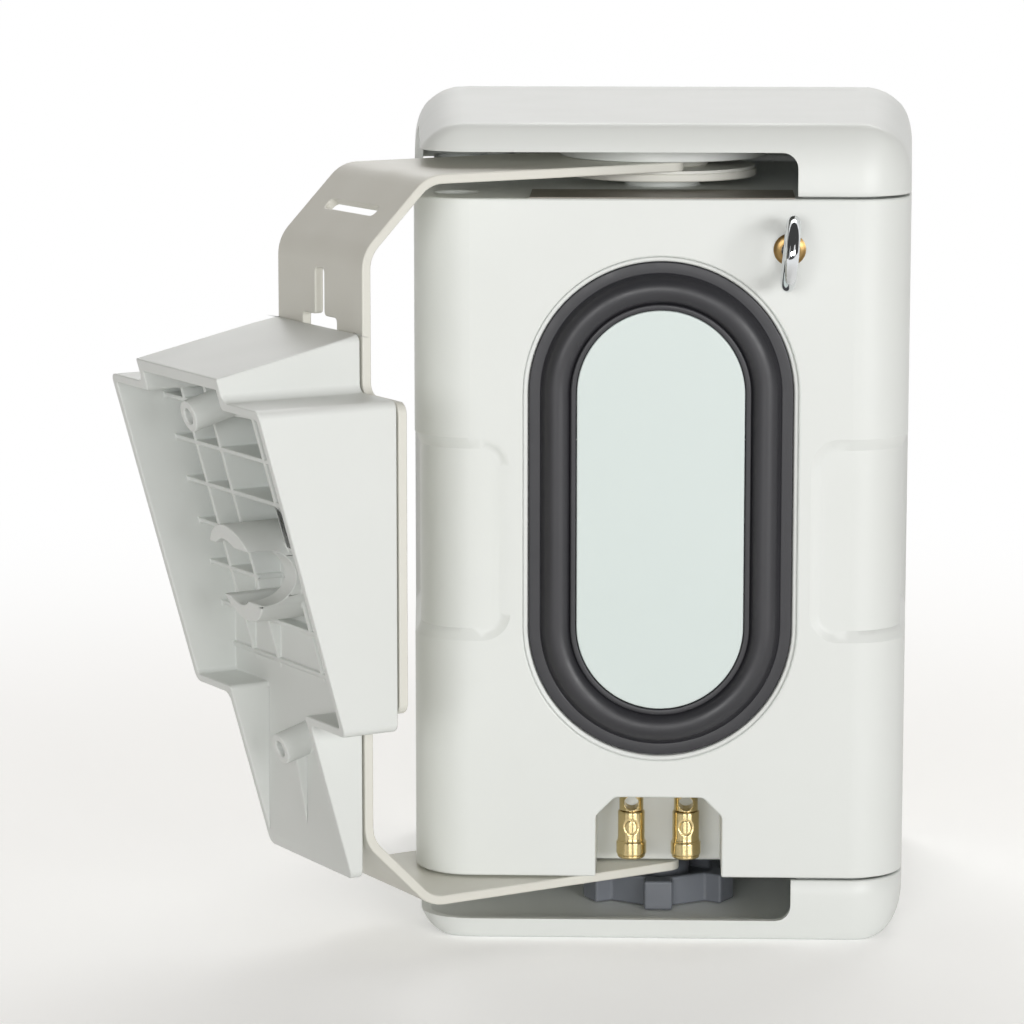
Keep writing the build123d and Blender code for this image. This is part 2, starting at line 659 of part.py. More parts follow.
def screw_up(x, y, seat, turn):
    """A cap screw whose head bears on a level face and whose shank points up or down."""
    head = post(SCREW_HEAD, min(seat, seat - turn * SCREW_HEAD_THICK),
                max(seat, seat - turn * SCREW_HEAD_THICK), x, y)
    tip = seat + turn * SCREW_LENGTH
    return head + post(SCREW_SHANK - THREAD_PLAY, min(seat, tip), max(seat, tip), x, y)


def make_cap_screws():
    screws = []
    for x, y in CAP_SCREW_PLACES:
        screws.append(screw_up(x, y, INNER_TOP, 1))
        screws.append(screw_up(x, y, INNER_BOTTOM, -1))
    return Compound(children=screws)


def make_baffle_screws():
    screws = []
    for x, z in baffle_screw_places():
        head = rod(SCREW_HEAD, BAFFLE_FRONT - SCREW_HEAD_THICK, BAFFLE_FRONT, x, z)
        tip = BAFFLE_FRONT + SCREW_LENGTH
        screws.append(head + rod(SCREW_SHANK - THREAD_PLAY, BAFFLE_FRONT, tip, x, z))
    return Compound(children=screws)


def make_label_plate():
    y1 = REAR_Y - LABEL_MARGIN
    plate = block(-LABEL_WIDTH / 2, LABEL_WIDTH / 2, y1 - LABEL_DEPTH, y1,
                  CABINET_TOP, CABINET_TOP + LABEL_THICK)
    return plate


# Rear radiator
def roll_face(centre, base, radius, outwards):
    """Half of a round tube wall, from (offset, depth) axes, bulging along Y."""
    inner = radius - RUBBER_THICK
    tip = base + outwards * radius
    inner_tip = base + outwards * inner
    return make_face([
        ThreePointArc((centre - radius, base), (centre, tip), (centre + radius, base)),
        Line((centre + radius, base), (centre + inner, base)),
        ThreePointArc((centre + inner, base), (centre, inner_tip), (centre - inner, base)),
        Line((centre - inner, base), (centre - radius, base)),
    ])


def around_radiator(face):
    """Carry a section drawn at +X around the radiator's obround path."""
    straight = SURROUND_LENGTH - SURROUND_WIDTH
    side = extrude(Pos(0, 0, RADIATOR_HEIGHT_Z - straight / 2) * face, amount=straight)
    turn = revolve(face, axis=Axis.Y, revolution_arc=-180)
    half = side + Pos(0, 0, RADIATOR_HEIGHT_Z + straight / 2) * turn
    to_centre = Pos(0, 0, -RADIATOR_HEIGHT_Z)
    return half + Pos(0, 0, RADIATOR_HEIGHT_Z) * Rot(0, 180, 0) * to_centre * half


def make_radiator_surround():
    roll_radius = ROLL_SPAN / 2
    roll_centre = SURROUND_WIDTH / 2 - FLANGE_RIM - roll_radius
    lip_inner = PISTON_WIDTH / 2 - PISTON_LAP
    flange = make_face(Polyline(
        (roll_centre + roll_radius - RUBBER_THICK, SEAT_Y), (SURROUND_WIDTH / 2, SEAT_Y),
        (SURROUND_WIDTH / 2, SEAT_Y + FLANGE_THICK),
        (roll_centre + roll_radius - RUBBER_THICK, SEAT_Y + FLANGE_THICK), close=True))
    lip = make_face(Polyline(
        (lip_inner, SEAT_Y), (roll_centre - roll_radius + RUBBER_THICK, SEAT_Y),
        (roll_centre - roll_radius + RUBBER_THICK, SEAT_Y + RUBBER_THICK),
        (lip_inner, SEAT_Y + RUBBER_THICK), close=True))
    section = roll_face(roll_centre, SEAT_Y, roll_radius, 1) + flange + lip
    return around_radiator(section)


def make_radiator_piston():
    front = SEAT_Y + RUBBER_THICK
    return obround(PISTON_WIDTH, PISTON_LENGTH, front, front + PISTON_THICK - RUBBER_THICK)


def make_radiator_weight():
    inset = 2 * (PISTON_LAP + WEIGHT_MARGIN)
    front = SEAT_Y + RUBBER_THICK
    return obround(PISTON_WIDTH - inset, PISTON_LENGTH - inset, front - PISTON_THICK, front)


# Terminals
def make_terminal_post(x):
    shoulder_top = NOTCH_CEILING - COLLAR_THICK
    wire_z = NUT_TOP + THREAD_PLAY + WIRE_HOLE + RUBBER_THICK / 2
    tip = NOTCH_CEILING + WALL + HEX_NUT_THICK + POST_CORE
    body = post(POST_CORE, POST_BOTTOM, tip, x, POST_Y)
    body += post(POST_RADIUS, NUT_TOP + BAFFLE_PLAY, shoulder_top, x, POST_Y)
    return body - rod(WIRE_HOLE, POST_Y - FAR, POST_Y + FAR, x, wire_z)


def make_terminal_nut(x):
    ring_top = POST_BOTTOM + NUT_RING_LENGTH
    nut = post(NUT_RING, POST_BOTTOM, ring_top, x, POST_Y)
    nut = chamfer(nut.edges().sort_by(Axis.Z)[0], NUT_RING - NUT_BARREL)
    nut += post(NUT_BARREL, ring_top, NUT_TOP, x, POST_Y)
    mark_z = ring_top + NUT_BARREL_LENGTH / 2
    nut -= rod(WIRE_HOLE, POST_Y + NUT_BARREL - COIL_WALL, POST_Y + FAR, x, mark_z)
    return nut - post(POST_CORE + THREAD_PLAY, POST_BOTTOM - 1, NUT_TOP + 1, x, POST_Y)


def make_terminal_collars():
    collars = []
    for x in post_places():
        collar = post(POST_RADIUS + COLLAR_THICK, NOTCH_CEILING - COLLAR_THICK, NOTCH_CEILING,
                      x, POST_Y)
        hole = post(POST_CORE + THREAD_PLAY, CABINET_BOTTOM, CABINET_TOP, x, POST_Y)
        collars.append(collar - hole)
    return Compound(children=collars)


def make_terminal_hex_nuts():
    nuts = []
    base = NOTCH_CEILING + WALL
    for x in post_places():
        hexagon = Pos(x, POST_Y, base) * RegularPolygon(HEX_NUT, 6)
        nut = extrude(hexagon, amount=HEX_NUT_THICK)
        hole = post(POST_CORE + THREAD_PLAY, base - 1, base + HEX_NUT_THICK + 1, x, POST_Y)
        nuts.append(nut - hole)
    return Compound(children=nuts)


# Eye bolt and its insert
def make_eye_bolt():
    face_y = REAR_Y + INSERT_FLANGE_THICK
    centre_y = face_y + EYE_RING + EYE_WIRE
    upright = Rot(0, -EYE_TILT, 0) * Rot(0, 90, 0)
    ring = Pos(EYE_X, centre_y, EYE_Z) * upright * Torus(EYE_RING, EYE_WIRE)
    shank_end = REAR_Y - INSERT_DEPTH + INSERT_FLANGE_THICK
    shank = rod(EYE_WIRE, shank_end, centre_y - EYE_RING, EYE_X, EYE_Z)
    return ring + shank


def make_eye_insert():
    insert = rod(INSERT_FLANGE, REAR_Y, REAR_Y + INSERT_FLANGE_THICK, EYE_X, EYE_Z)
    insert += rod(INSERT_BARREL - THREAD_PLAY, REAR_Y - INSERT_DEPTH, REAR_Y, EYE_X, EYE_Z)
    return insert - rod(EYE_WIRE + THREAD_PLAY, REAR_Y - FAR, REAR_Y + FAR, EYE_X, EYE_Z)


# Pivots
def ring_at(outer, inner, z0, z1):
    return post(outer, z0, z1) - post(inner, z0 - 1, z1 + 1)


def make_pivot_pin():
    pin = post(PIN_RADIUS, INNER_TOP, PIN_TOP - PIN_END_PLAY)
    return pin + post(PIN_HEAD_RADIUS, INNER_TOP - PIN_HEAD_THICK, INNER_TOP)


def make_pivot_plate():
    return ring_at(PIVOT_PLATE_RADIUS, PIN_RADIUS + PIN_PLAY, PLATE_BOTTOM, PLATE_TOP)


def make_upper_washer():
    return ring_at(WASHER_RADIUS, PIN_RADIUS + PIN_PLAY, PLATE_TOP, PLATE_TOP + WASHER_THICK)


def make_lower_washer():
    return ring_at(PIVOT_BOSS_RADIUS, SPIGOT_RADIUS + SPIGOT_PLAY,
                   CABINET_BOTTOM - WASHER_THICK, CABINET_BOTTOM)


def make_knob_insert():
    """Brass bush: the lower arm turns on its spigot and the knob screws into it."""
    top = CABINET_BOTTOM + KNOB_INSERT_HEIGHT
    arm_bottom = LOWER_ARM - STRAP_THICK / 2
    bush = post(SPIGOT_RADIUS + WALL - THREAD_PLAY, CABINET_BOTTOM, top)
    bush += post(SPIGOT_RADIUS, arm_bottom + SPIGOT_SHORT, CABINET_BOTTOM)
    return bush - post(STUD_RADIUS + STUD_PLAY, arm_bottom - 1, top + 1)


def make_clamp_knob():
    hexagon = Pos(0, 0, KNOB_BOTTOM) * RegularPolygon(KNOB_FACET, KNOB_LOBES)
    knob = extrude(hexagon, amount=KNOB_HEIGHT)
    for i in range(KNOB_LOBES):
        lobe = block(KNOB_FACET - KNOB_LOBE_WIDTH, KNOB_REACH, -KNOB_LOBE_WIDTH / 2,
                     KNOB_LOBE_WIDTH / 2, KNOB_BOTTOM, KNOB_TOP)
        knob += Rot(0, 0, 360 / KNOB_LOBES * i) * lobe
    dish = Pos(0, 0, KNOB_TOP - KNOB_DISH) * RegularPolygon(KNOB_FACET - KNOB_RIM, KNOB_LOBES)
    knob -= extrude(dish, amount=KNOB_DISH + 1)
    knob += post(KNOB_HUB, KNOB_BOTTOM, LOWER_ARM - STRAP_THICK / 2)
    knob -= post(STUD_RADIUS, KNOB_BOTTOM + KNOB_RIM, KNOB_TOP + KNOB_HEIGHT)
    return Rot(0, 0, KNOB_TURN) * knob


def make_knob_stud():
    return post(STUD_RADIUS, KNOB_BOTTOM + KNOB_RIM, CABINET_BOTTOM + KNOB_INSERT_HEIGHT - KNOB_RIM)


# Bracket: drawn along +X, then turned to its rest angle
def at_rest_angle(solid):
    return Rot(0, 0, BRACKET_ANGLE) * solid


def strap_outline(side):
    """The strap's bent line seen from the side, moved outwards by side."""
    shift = side * math.tan(math.radians(STRAP_BEND_ANGLE / 2))
    knee = STRAP_RADIUS - STRAP_LEG + shift
    upper = UPPER_ARM + side
    lower = LOWER_ARM - side
    drop = STRAP_LEG - shift
    return FilletPolyline(
        (ARM_END, lower), (knee, lower), (STRAP_RADIUS + side, LOWER_ARM + drop),
        (STRAP_RADIUS + side, UPPER_ARM - drop), (knee, upper), (ARM_END, upper),
        radius=STRAP_BEND + side)


def strap_band():
    plane = Plane(origin=(0, STRAP_WIDE / 2, 0), x_dir=(1, 0, 0), z_dir=(0, -1, 0))
    half = STRAP_THICK / 2
    outer = strap_outline(half)
    inner = strap_outline(-half)
    ends = [Line(outer @ 0, inner @ 0), Line(outer @ 1, inner @ 1)]
    return extrude(plane * make_face(outer.edges() + inner.edges() + ends), amount=STRAP_WIDE)


def upright_outline(narrow, wide, bottom, wide_bottom, wide_top, top, corner):
    """A plate outline across the bracket, (v, z), with a wide middle and rounded corners."""
    face = Pos(0, (bottom + top) / 2) * Rectangle(narrow, top - bottom)
    face += Pos(0, (wide_bottom + wide_top) / 2) * Rectangle(wide, wide_top - wide_bottom)
    return fillet(face.vertices(), corner)


def upright_prism(face, u0, u1):
    """Carry a (v, z) outline along the bracket's own direction."""
    plane = Plane(origin=(u0, 0, 0), x_dir=(0, 1, 0), z_dir=(1, 0, 0))
    return extrude(plane * face, amount=u1 - u0)


def make_bracket_strap():
    outline = upright_outline(STRAP_WIDTH, STRAP_WIDE, -FAR, STRAP_WIDE_BOTTOM, STRAP_WIDE_TOP,
                              FAR, STRAP_CORNER)
    strap = strap_band() & upright_prism(outline, 0, STRAP_RADIUS + STRAP_LEG)
    end_corners = strap.edges().filter_by(Axis.Z).group_by(Axis.X)[0]
    strap = fillet(end_corners, ARM_CORNER)
    half = STRAP_THICK / 2
    eyes = ((UPPER_ARM, PIN_RADIUS + PIN_PLAY), (LOWER_ARM, SPIGOT_RADIUS + SPIGOT_PLAY))
    for level, bore in eyes:
        strap += post(ARM_EYE, level - half, level + half)
        strap += block(0, ARM_END + half, -ARM_EYE, ARM_EYE, level - half, level + half)
        strap -= post(bore, level - STRAP_THICK, level + STRAP_THICK)
    # Slot across the upper slope
    middle = (STRAP_RADIUS - STRAP_LEG / 2, 0, UPPER_ARM - STRAP_LEG / 2)
    slope = Plane(origin=middle, x_dir=(0, 1, 0), z_dir=(1, 0, 1))
    strap -= extrude(slope * SlotOverall(SLOT_LENGTH, SLOT_WIDTH), amount=STRAP_THICK * 2, both=True)
    # Tee slot in the upright
    tee = Pos(0, (TEE_STEP + TEE_BOTTOM) / 2) * Rectangle(TEE_WIDE, TEE_STEP - TEE_BOTTOM)
    tee += Pos(0, (TEE_TOP + TEE_BOTTOM) / 2) * Rectangle(TEE_NARROW, TEE_TOP - TEE_BOTTOM)
    tee = fillet(tee.vertices(), TEE_NARROW / 4)
    strap -= upright_prism(tee, STRAP_RADIUS - STRAP_THICK, STRAP_RADIUS + STRAP_THICK)
    strap -= Pos(STRAP_RADIUS, 0, LOCK_HEIGHT) * Rot(0, 90, 0) * Cylinder(LOCK_STUD, STRAP_LEG)
    # Way through for a screwdriver to the lower wall screw
    strap -= wall_axis_cylinder(DRIVER_ACCESS, WALL_SCREW_LOWER, STRAP_RADIUS / 2, 0)
    return at_rest_angle(strap)


def rim_u(z, drop=0.0):
    """Reach of the wall plane at a height, less a drop square to that plane."""
    slope = math.radians(MOUNT_TILT)
    return MOUNT_FACE + MOUNT_TOE + (z - MOUNT_BOTTOM) * math.tan(slope) - drop / math.cos(slope)


def mount_side(u0, drop_top, drop_rim):
    """The wedge seen from the side, as a slab right across the mount."""
    fall = math.tan(math.radians(MOUNT_TOP_SLOPE))
    top = MOUNT_TOP - drop_top
    rise = math.tan(math.radians(MOUNT_TILT))
    start = rim_u(0, drop_rim)
    meet = (top + fall * MOUNT_FACE - fall * start) / (1 + fall * rise)
    plane = Plane(origin=(0, FAR / 2, 0), x_dir=(1, 0, 0), z_dir=(0, -1, 0))
    toe = (u0 - start) / rise
    face = make_face(Polyline(
        (u0, toe), (u0, top - fall * (u0 - MOUNT_FACE)), (start + rise * meet, meet), close=True))
    return extrude(plane * face, amount=FAR)


def wall_axis_cylinder(radius, z, reach_in, reach_out):
    """A cylinder square to the wall plane, centred where it meets that plane."""
    at = Pos(rim_u(z), 0, z) * Rot(0, 90 + MOUNT_TILT, 0)
    return at * Pos(0, 0, (reach_out - reach_in) / 2) * Cylinder(radius, reach_in + reach_out)


def web(points, v):
    """A thin upright web across the bracket from its (u, z) corners, centred at one offset."""
    plane = Plane(origin=(0, v + RIB_THICK / 2, 0), x_dir=(1, 0, 0), z_dir=(0, -1, 0))
    return extrude(plane * make_face(Polyline(*points, close=True)), amount=RIB_THICK)


def make_mount_ribs(base):
    """The rib grid, the webs that run out below it, and the web under the lower screw."""
    low = RIB_LEVELS[0]
    ribs = web([(base - 1, TOE_GUSSET_BOTTOM), (base - 1, WALL_SCREW_LOWER),
                (rim_u(WALL_SCREW_LOWER, TOE_GUSSET_DROP), WALL_SCREW_LOWER)], 0)
    for z in RIB_LEVELS:
        ribs += block(base - 1, FAR, -MOUNT_WIDE / 2, MOUNT_WIDE / 2,
                      z - RIB_THICK / 2, z + RIB_THICK / 2)
    for v in RIB_OFFSETS:
        ribs += block(base - 1, FAR, v - RIB_THICK / 2, v + RIB_THICK / 2, low, MOUNT_TOP)
        ribs += web([(base - 1, low - GUSSET_HEIGHT), (base - 1, low), (rim_u(low), low)], v)
    return ribs


def make_lock_boss():
    """A thick tube around the lock stud, open to one side and saddled on the other."""
    axis = Pos(0, 0, LOCK_HEIGHT) * Rot(0, 90, 0)
    tube = axis * Pos(0, 0, FAR / 2) * Cylinder(LOCK_BOSS, FAR)
    bore = Pos(0, -LOCK_BORE_SHIFT, 0) * axis * Pos(0, 0, FAR / 2) * Cylinder(LOCK_BORE, FAR)
    half = LOCK_MOUTH / 2
    mouth = block(MOUNT_FACE, FAR, -2 * LOCK_BOSS, -LOCK_BORE_SHIFT, LOCK_HEIGHT - half,
                  LOCK_HEIGHT + half)
    trough = rim_u(LOCK_HEIGHT, LOCK_DROP) - LOCK_SADDLE + half
    saddle = block(trough, FAR, 0, 2 * LOCK_BOSS, LOCK_HEIGHT - half, LOCK_HEIGHT + half)
    saddle += rod(half, 0, 2 * LOCK_BOSS, trough, LOCK_HEIGHT)
    return tube - bore - mouth - saddle, tube


def make_wall_mount():
    outline = upright_outline(MOUNT_NARROW, MOUNT_WIDE, MOUNT_BOTTOM, MOUNT_WIDE_BOTTOM,
                              MOUNT_WIDE_TOP, MOUNT_TOP, MOUNT_CORNER)
    wall = 2 * MOUNT_WALL
    hollow_outline = upright_outline(
        MOUNT_NARROW - wall, MOUNT_WIDE - wall, MOUNT_BOTTOM + MOUNT_WALL,
        MOUNT_WIDE_BOTTOM + MOUNT_WALL, MOUNT_WIDE_TOP - MOUNT_WALL,
        MOUNT_TOP - MOUNT_WALL, MOUNT_CORNER / 2)
    wedge = upright_prism(outline, MOUNT_FACE, FAR) & mount_side(MOUNT_FACE, 0, 0)
    base = MOUNT_FACE + MOUNT_BASE
    hollow = upright_prism(hollow_outline, base, FAR)
    room = hollow & mount_side(base, MOUNT_TOP_WALL, -MOUNT_CORNER)
    mount = wedge - room
    # Ribs and tubular bosses inside the hollow
    rib_room = hollow & mount_side(base - 1, MOUNT_WALL, RIB_DROP)
    boss_room = hollow & mount_side(base - 1, MOUNT_WALL, LOCK_DROP)
    toe_room = hollow & mount_side(base - 1, MOUNT_WALL, 0)
    toe_room &= block(0, FAR, -FAR, FAR, 0, WALL_SCREW_LOWER)
    lock_boss, lock_tube = make_lock_boss()
    ribs = make_mount_ribs(base)
    mount += (ribs - lock_tube) & (rib_room + toe_room)
    mount += lock_boss & boss_room
    for z in (WALL_SCREW_UPPER, WALL_SCREW_LOWER):
        mount += wall_axis_cylinder(SCREW_BOSS, z, FAR, 0) & hollow
    for z in (WALL_SCREW_UPPER, WALL_SCREW_LOWER):
        mount -= wall_axis_cylinder(SCREW_HOLE, z, FAR, FAR)
    # Seat on the strap and clearance for the lock stud
    mount += block(STRAP_OUTER, MOUNT_FACE, -PAD_HALF_WIDTH, PAD_HALF_WIDTH,
                   STRAP_WIDE_BOTTOM, STRAP_WIDE_TOP - STRAP_WIDTH / 2)
    stud_room = Cylinder(LOCK_STUD + LOCK_PLAY, 2 * STRAP_LEG)
    mount -= Pos(STRAP_RADIUS, 0, LOCK_HEIGHT) * Rot(0, 90, 0) * stud_room
    return at_rest_angle(mount)


def make_lock_stud():
    """Riveted stud that holds the mount's base against the strap."""
    base = MOUNT_FACE + MOUNT_BASE
    inner = STRAP_RADIUS - STRAP_THICK / 2
    axis = Pos(0, 0, LOCK_HEIGHT) * Rot(0, 90, 0)
    stud = axis * Pos(0, 0, (inner + base) / 2) * Cylinder(LOCK_STUD - THREAD_PLAY, base - inner)
    stud += axis * Pos(0, 0, base + LOCK_HEAD_THICK / 2) * Cylinder(LOCK_HEAD, LOCK_HEAD_THICK)
    stud += axis * Pos(0, 0, inner - LOCK_HEAD_THICK / 4) * Cylinder(LOCK_HEAD, LOCK_HEAD_THICK / 2)
    return at_rest_angle(stud)


# Drivers, turned about lines along Y
def woofer(points):
    return turned(points, 0, WOOFER_Z)


def basket_windows():
    span = WOOFER_BASKET_DEPTH / 4
    cut = None
    for i in range(BASKET_WINDOWS):
        window = block(TOP_PLATE_RADIUS, WOOFER_FLANGE, FLANGE_BACK + span, BASKET_BACK - span,
                       -span, span)
        window = Pos(0, 0, WOOFER_Z) * Rot(0, 360 / BASKET_WINDOWS * i, 0) * window
        cut = window if cut is None else cut + window
    return cut


def make_woofer_basket():
    bore = COIL_RADIUS + 2 * COIL_WALL + COIL_GAP
    rim = WOOFER_OPENING - BASKET_SHEET
    basket = woofer([
        (WOOFER_FLANGE, BAFFLE_FRONT), (WOOFER_FLANGE, FLANGE_BACK), (WOOFER_OPENING, FLANGE_BACK),
        (TOP_PLATE_RADIUS + BASKET_SHEET, BASKET_BACK), (bore, BASKET_BACK),
        (bore, BASKET_BACK - BASKET_SHEET), (TOP_PLATE_RADIUS, BASKET_BACK - BASKET_SHEET),
        (rim, FLANGE_BACK), (rim, BAFFLE_FRONT),
    ])
    return cut_driver_screws(basket - basket_windows())


def make_woofer_top_plate():
    bore = COIL_RADIUS + COIL_WALL / 2 + COIL_GAP
    return woofer([(bore, BASKET_BACK), (TOP_PLATE_RADIUS, BASKET_BACK),
                   (TOP_PLATE_RADIUS, MAGNET_FRONT), (bore, MAGNET_FRONT)])


def make_woofer_magnet():
    return woofer([(MAGNET_BORE, MAGNET_FRONT), (MAGNET_RADIUS, MAGNET_FRONT),
                   (MAGNET_RADIUS, MAGNET_BACK), (MAGNET_BORE, MAGNET_BACK)])


def make_woofer_yoke():
    pole = COIL_RADIUS - COIL_WALL / 2 - COIL_GAP
    back = MAGNET_BACK + TOP_PLATE_THICK
    return woofer([(0, BASKET_BACK), (pole, BASKET_BACK), (pole, MAGNET_BACK),
                   (TOP_PLATE_RADIUS, MAGNET_BACK), (TOP_PLATE_RADIUS, back), (0, back)])


def cone_y(radius):
    """Depth of the cone's front face at a radius."""
    neck = COIL_RADIUS + COIL_WALL / 2
    return CONE_NECK_Y + (CONE_MOUTH_Y - CONE_NECK_Y) * (radius - neck) / (WOOFER_CONE - neck)


def make_voice_coil():
    outer = COIL_RADIUS + COIL_WALL / 2
    inner = COIL_RADIUS - COIL_WALL / 2
    tip = MAGNET_FRONT + WOOFER_STROKE
    return woofer([(inner, CONE_NECK_Y), (outer, CONE_NECK_Y), (outer, tip), (inner, tip)])


def make_woofer_cone():
    neck = COIL_RADIUS + COIL_WALL / 2
    return woofer([(neck, CONE_NECK_Y), (WOOFER_CONE, CONE_MOUTH_Y),
                   (WOOFER_CONE, CONE_MOUTH_Y + CONE_THICK), (neck, CONE_NECK_Y + CONE_THICK)])


def dome_face(radius, edge_y, rise, thick):
    """Half section of a shallow ball cap that bulges towards -Y."""
    ball = (radius ** 2 + rise ** 2) / (2 * rise)
    centre = edge_y - rise + ball
    inner = ball - thick
    inner_edge = math.sqrt(inner ** 2 - (centre - edge_y) ** 2)
    outer_half = math.asin(radius / ball) / 2
    inner_half = math.asin(inner_edge / inner) / 2
    return make_face([
        ThreePointArc((0, centre - ball),
                      (ball * math.sin(outer_half), centre - ball * math.cos(outer_half)),
                      (radius, edge_y)),
        Line((radius, edge_y), (inner_edge, edge_y)),
        ThreePointArc((inner_edge, edge_y),
                      (inner * math.sin(inner_half), centre - inner * math.cos(inner_half)),
                      (0, centre - inner)),
        Line((0, centre - inner), (0, centre - ball)),
    ])


def make_dust_cap():
    face = dome_face(DUST_CAP_SEAT, cone_y(DUST_CAP_SEAT), DUST_CAP_RISE, CONE_THICK)
    return Pos(0, 0, WOOFER_Z) * revolve(face, axis=Axis.Y)


def make_woofer_surround():
    roll_radius = (WOOFER_OPENING - WOOFER_CONE) / 2
    centre = (WOOFER_OPENING + WOOFER_CONE) / 2
    section = roll_face(centre, BAFFLE_FRONT, roll_radius, -1)
    glue = roll_radius - RUBBER_THICK
    front = BAFFLE_FRONT - RUBBER_THICK
    for r0, r1 in ((WOOFER_CONE - FLANGE_RIM, centre - glue), (centre + glue, WOOFER_OPENING)):
        section += make_face(Polyline((r0, front), (r1, front), (r1, BAFFLE_FRONT),
                                      (r0, BAFFLE_FRONT), close=True))
    return Pos(0, 0, WOOFER_Z) * revolve(section, axis=Axis.Y)


def make_woofer_spider():
    coil = COIL_RADIUS + COIL_WALL / 2
    edge = TOP_PLATE_RADIUS - BASKET_SHEET
    seat = BASKET_BACK - BASKET_SHEET
    sheet = seat - SPIDER_HEIGHT
    return woofer([(coil, sheet), (edge, sheet), (edge, seat), (edge - FLANGE_RIM, seat),
                   (edge - FLANGE_RIM, sheet + CONE_THICK), (coil, sheet + CONE_THICK)])


def tweeter(points):
    return turned(points, 0, TWEETER_Z)


def make_tweeter_faceplate():
    bore = TWEETER_DOME + TWEETER_RING
    plate = tweeter([(bore, BAFFLE_FRONT), (TWEETER_FLANGE, BAFFLE_FRONT),
                     (TWEETER_FLANGE, FLANGE_BACK), (bore, FLANGE_BACK)])
    return cut_driver_screws(plate)


def make_tweeter_magnet():
    inner = TWEETER_DOME - COIL_WALL - COIL_GAP
    outer = TWEETER_DOME + COIL_GAP
    back = FLANGE_BACK + TWEETER_DEPTH
    groove = FLANGE_BACK + TWEETER_GROOVE
    return tweeter([(0, FLANGE_BACK), (inner, FLANGE_BACK), (inner, groove), (outer, groove),
                    (outer, FLANGE_BACK), (TWEETER_MAGNET, FLANGE_BACK),
                    (TWEETER_MAGNET, back), (0, back)])


def make_tweeter_dome():
    edge = FLANGE_BACK - TWEETER_LIFT
    dome = revolve(dome_face(TWEETER_DOME, edge, TWEETER_DOME / 2, COIL_WALL), axis=Axis.Y)
    dome = Pos(0, 0, TWEETER_Z) * dome
    former_end = FLANGE_BACK + TWEETER_GROOVE - TWEETER_LIFT
    inner = TWEETER_DOME - COIL_WALL
    return dome + tweeter([(inner, edge), (TWEETER_DOME, edge), (TWEETER_DOME, former_end),
                           (inner, former_end)])


def make_tweeter_surround():
    edge = TWEETER_DOME + TWEETER_RING - THREAD_PLAY
    front = FLANGE_BACK - TWEETER_LIFT
    foot = edge - RUBBER_THICK
    back = front + TWEETER_LIFT / 2
    return tweeter([(TWEETER_DOME, front), (edge, front), (edge, FLANGE_BACK), (foot, FLANGE_BACK),
                    (foot, back), (TWEETER_DOME, back)])


# Crossover and damping
def board_level():
    return INNER_BOTTOM + STANDOFF_HEIGHT


def make_crossover_board():
    level = board_level()
    half_depth = BOARD_DEPTH / 2
    return block(-BOARD_WIDTH / 2, BOARD_WIDTH / 2, BOARD_Y - half_depth, BOARD_Y + half_depth,
                 level, level + BOARD_THICK)


def make_crossover_inductor():
    base = board_level() + BOARD_THICK
    x = -BOARD_WIDTH / 4
    coil = post(INDUCTOR_RADIUS, base, base + INDUCTOR_HEIGHT, x, BOARD_Y)
    return coil - post(INDUCTOR_RADIUS / 2, base - 1, base + INDUCTOR_HEIGHT + 1, x, BOARD_Y)


def make_crossover_capacitors():
    base = board_level() + BOARD_THICK + CAPACITOR_RADIUS
    cans = []
    for i in (-1, 1):
        y = BOARD_Y + i * (CAPACITOR_RADIUS + COLLAR_THICK)
        can = Cylinder(CAPACITOR_RADIUS, CAPACITOR_LENGTH)
        cans.append(Pos(BOARD_WIDTH / 4, y, base) * Rot(0, 90, 0) * can)
    return Compound(children=cans)


def make_damping_felt():
    low = INNER_BOTTOM + FELT_MARGIN
    high = INNER_TOP - FELT_MARGIN
    sheet = plan_prism(WALL, low, high) - plan_prism(WALL + FELT_THICK, low, high)
    sheet &= slab_y(LEDGE_Y + LEDGE_THICK + WALL, REAR_Y - FELT_MARGIN)
    return Compound(children=list(sheet.solids()))


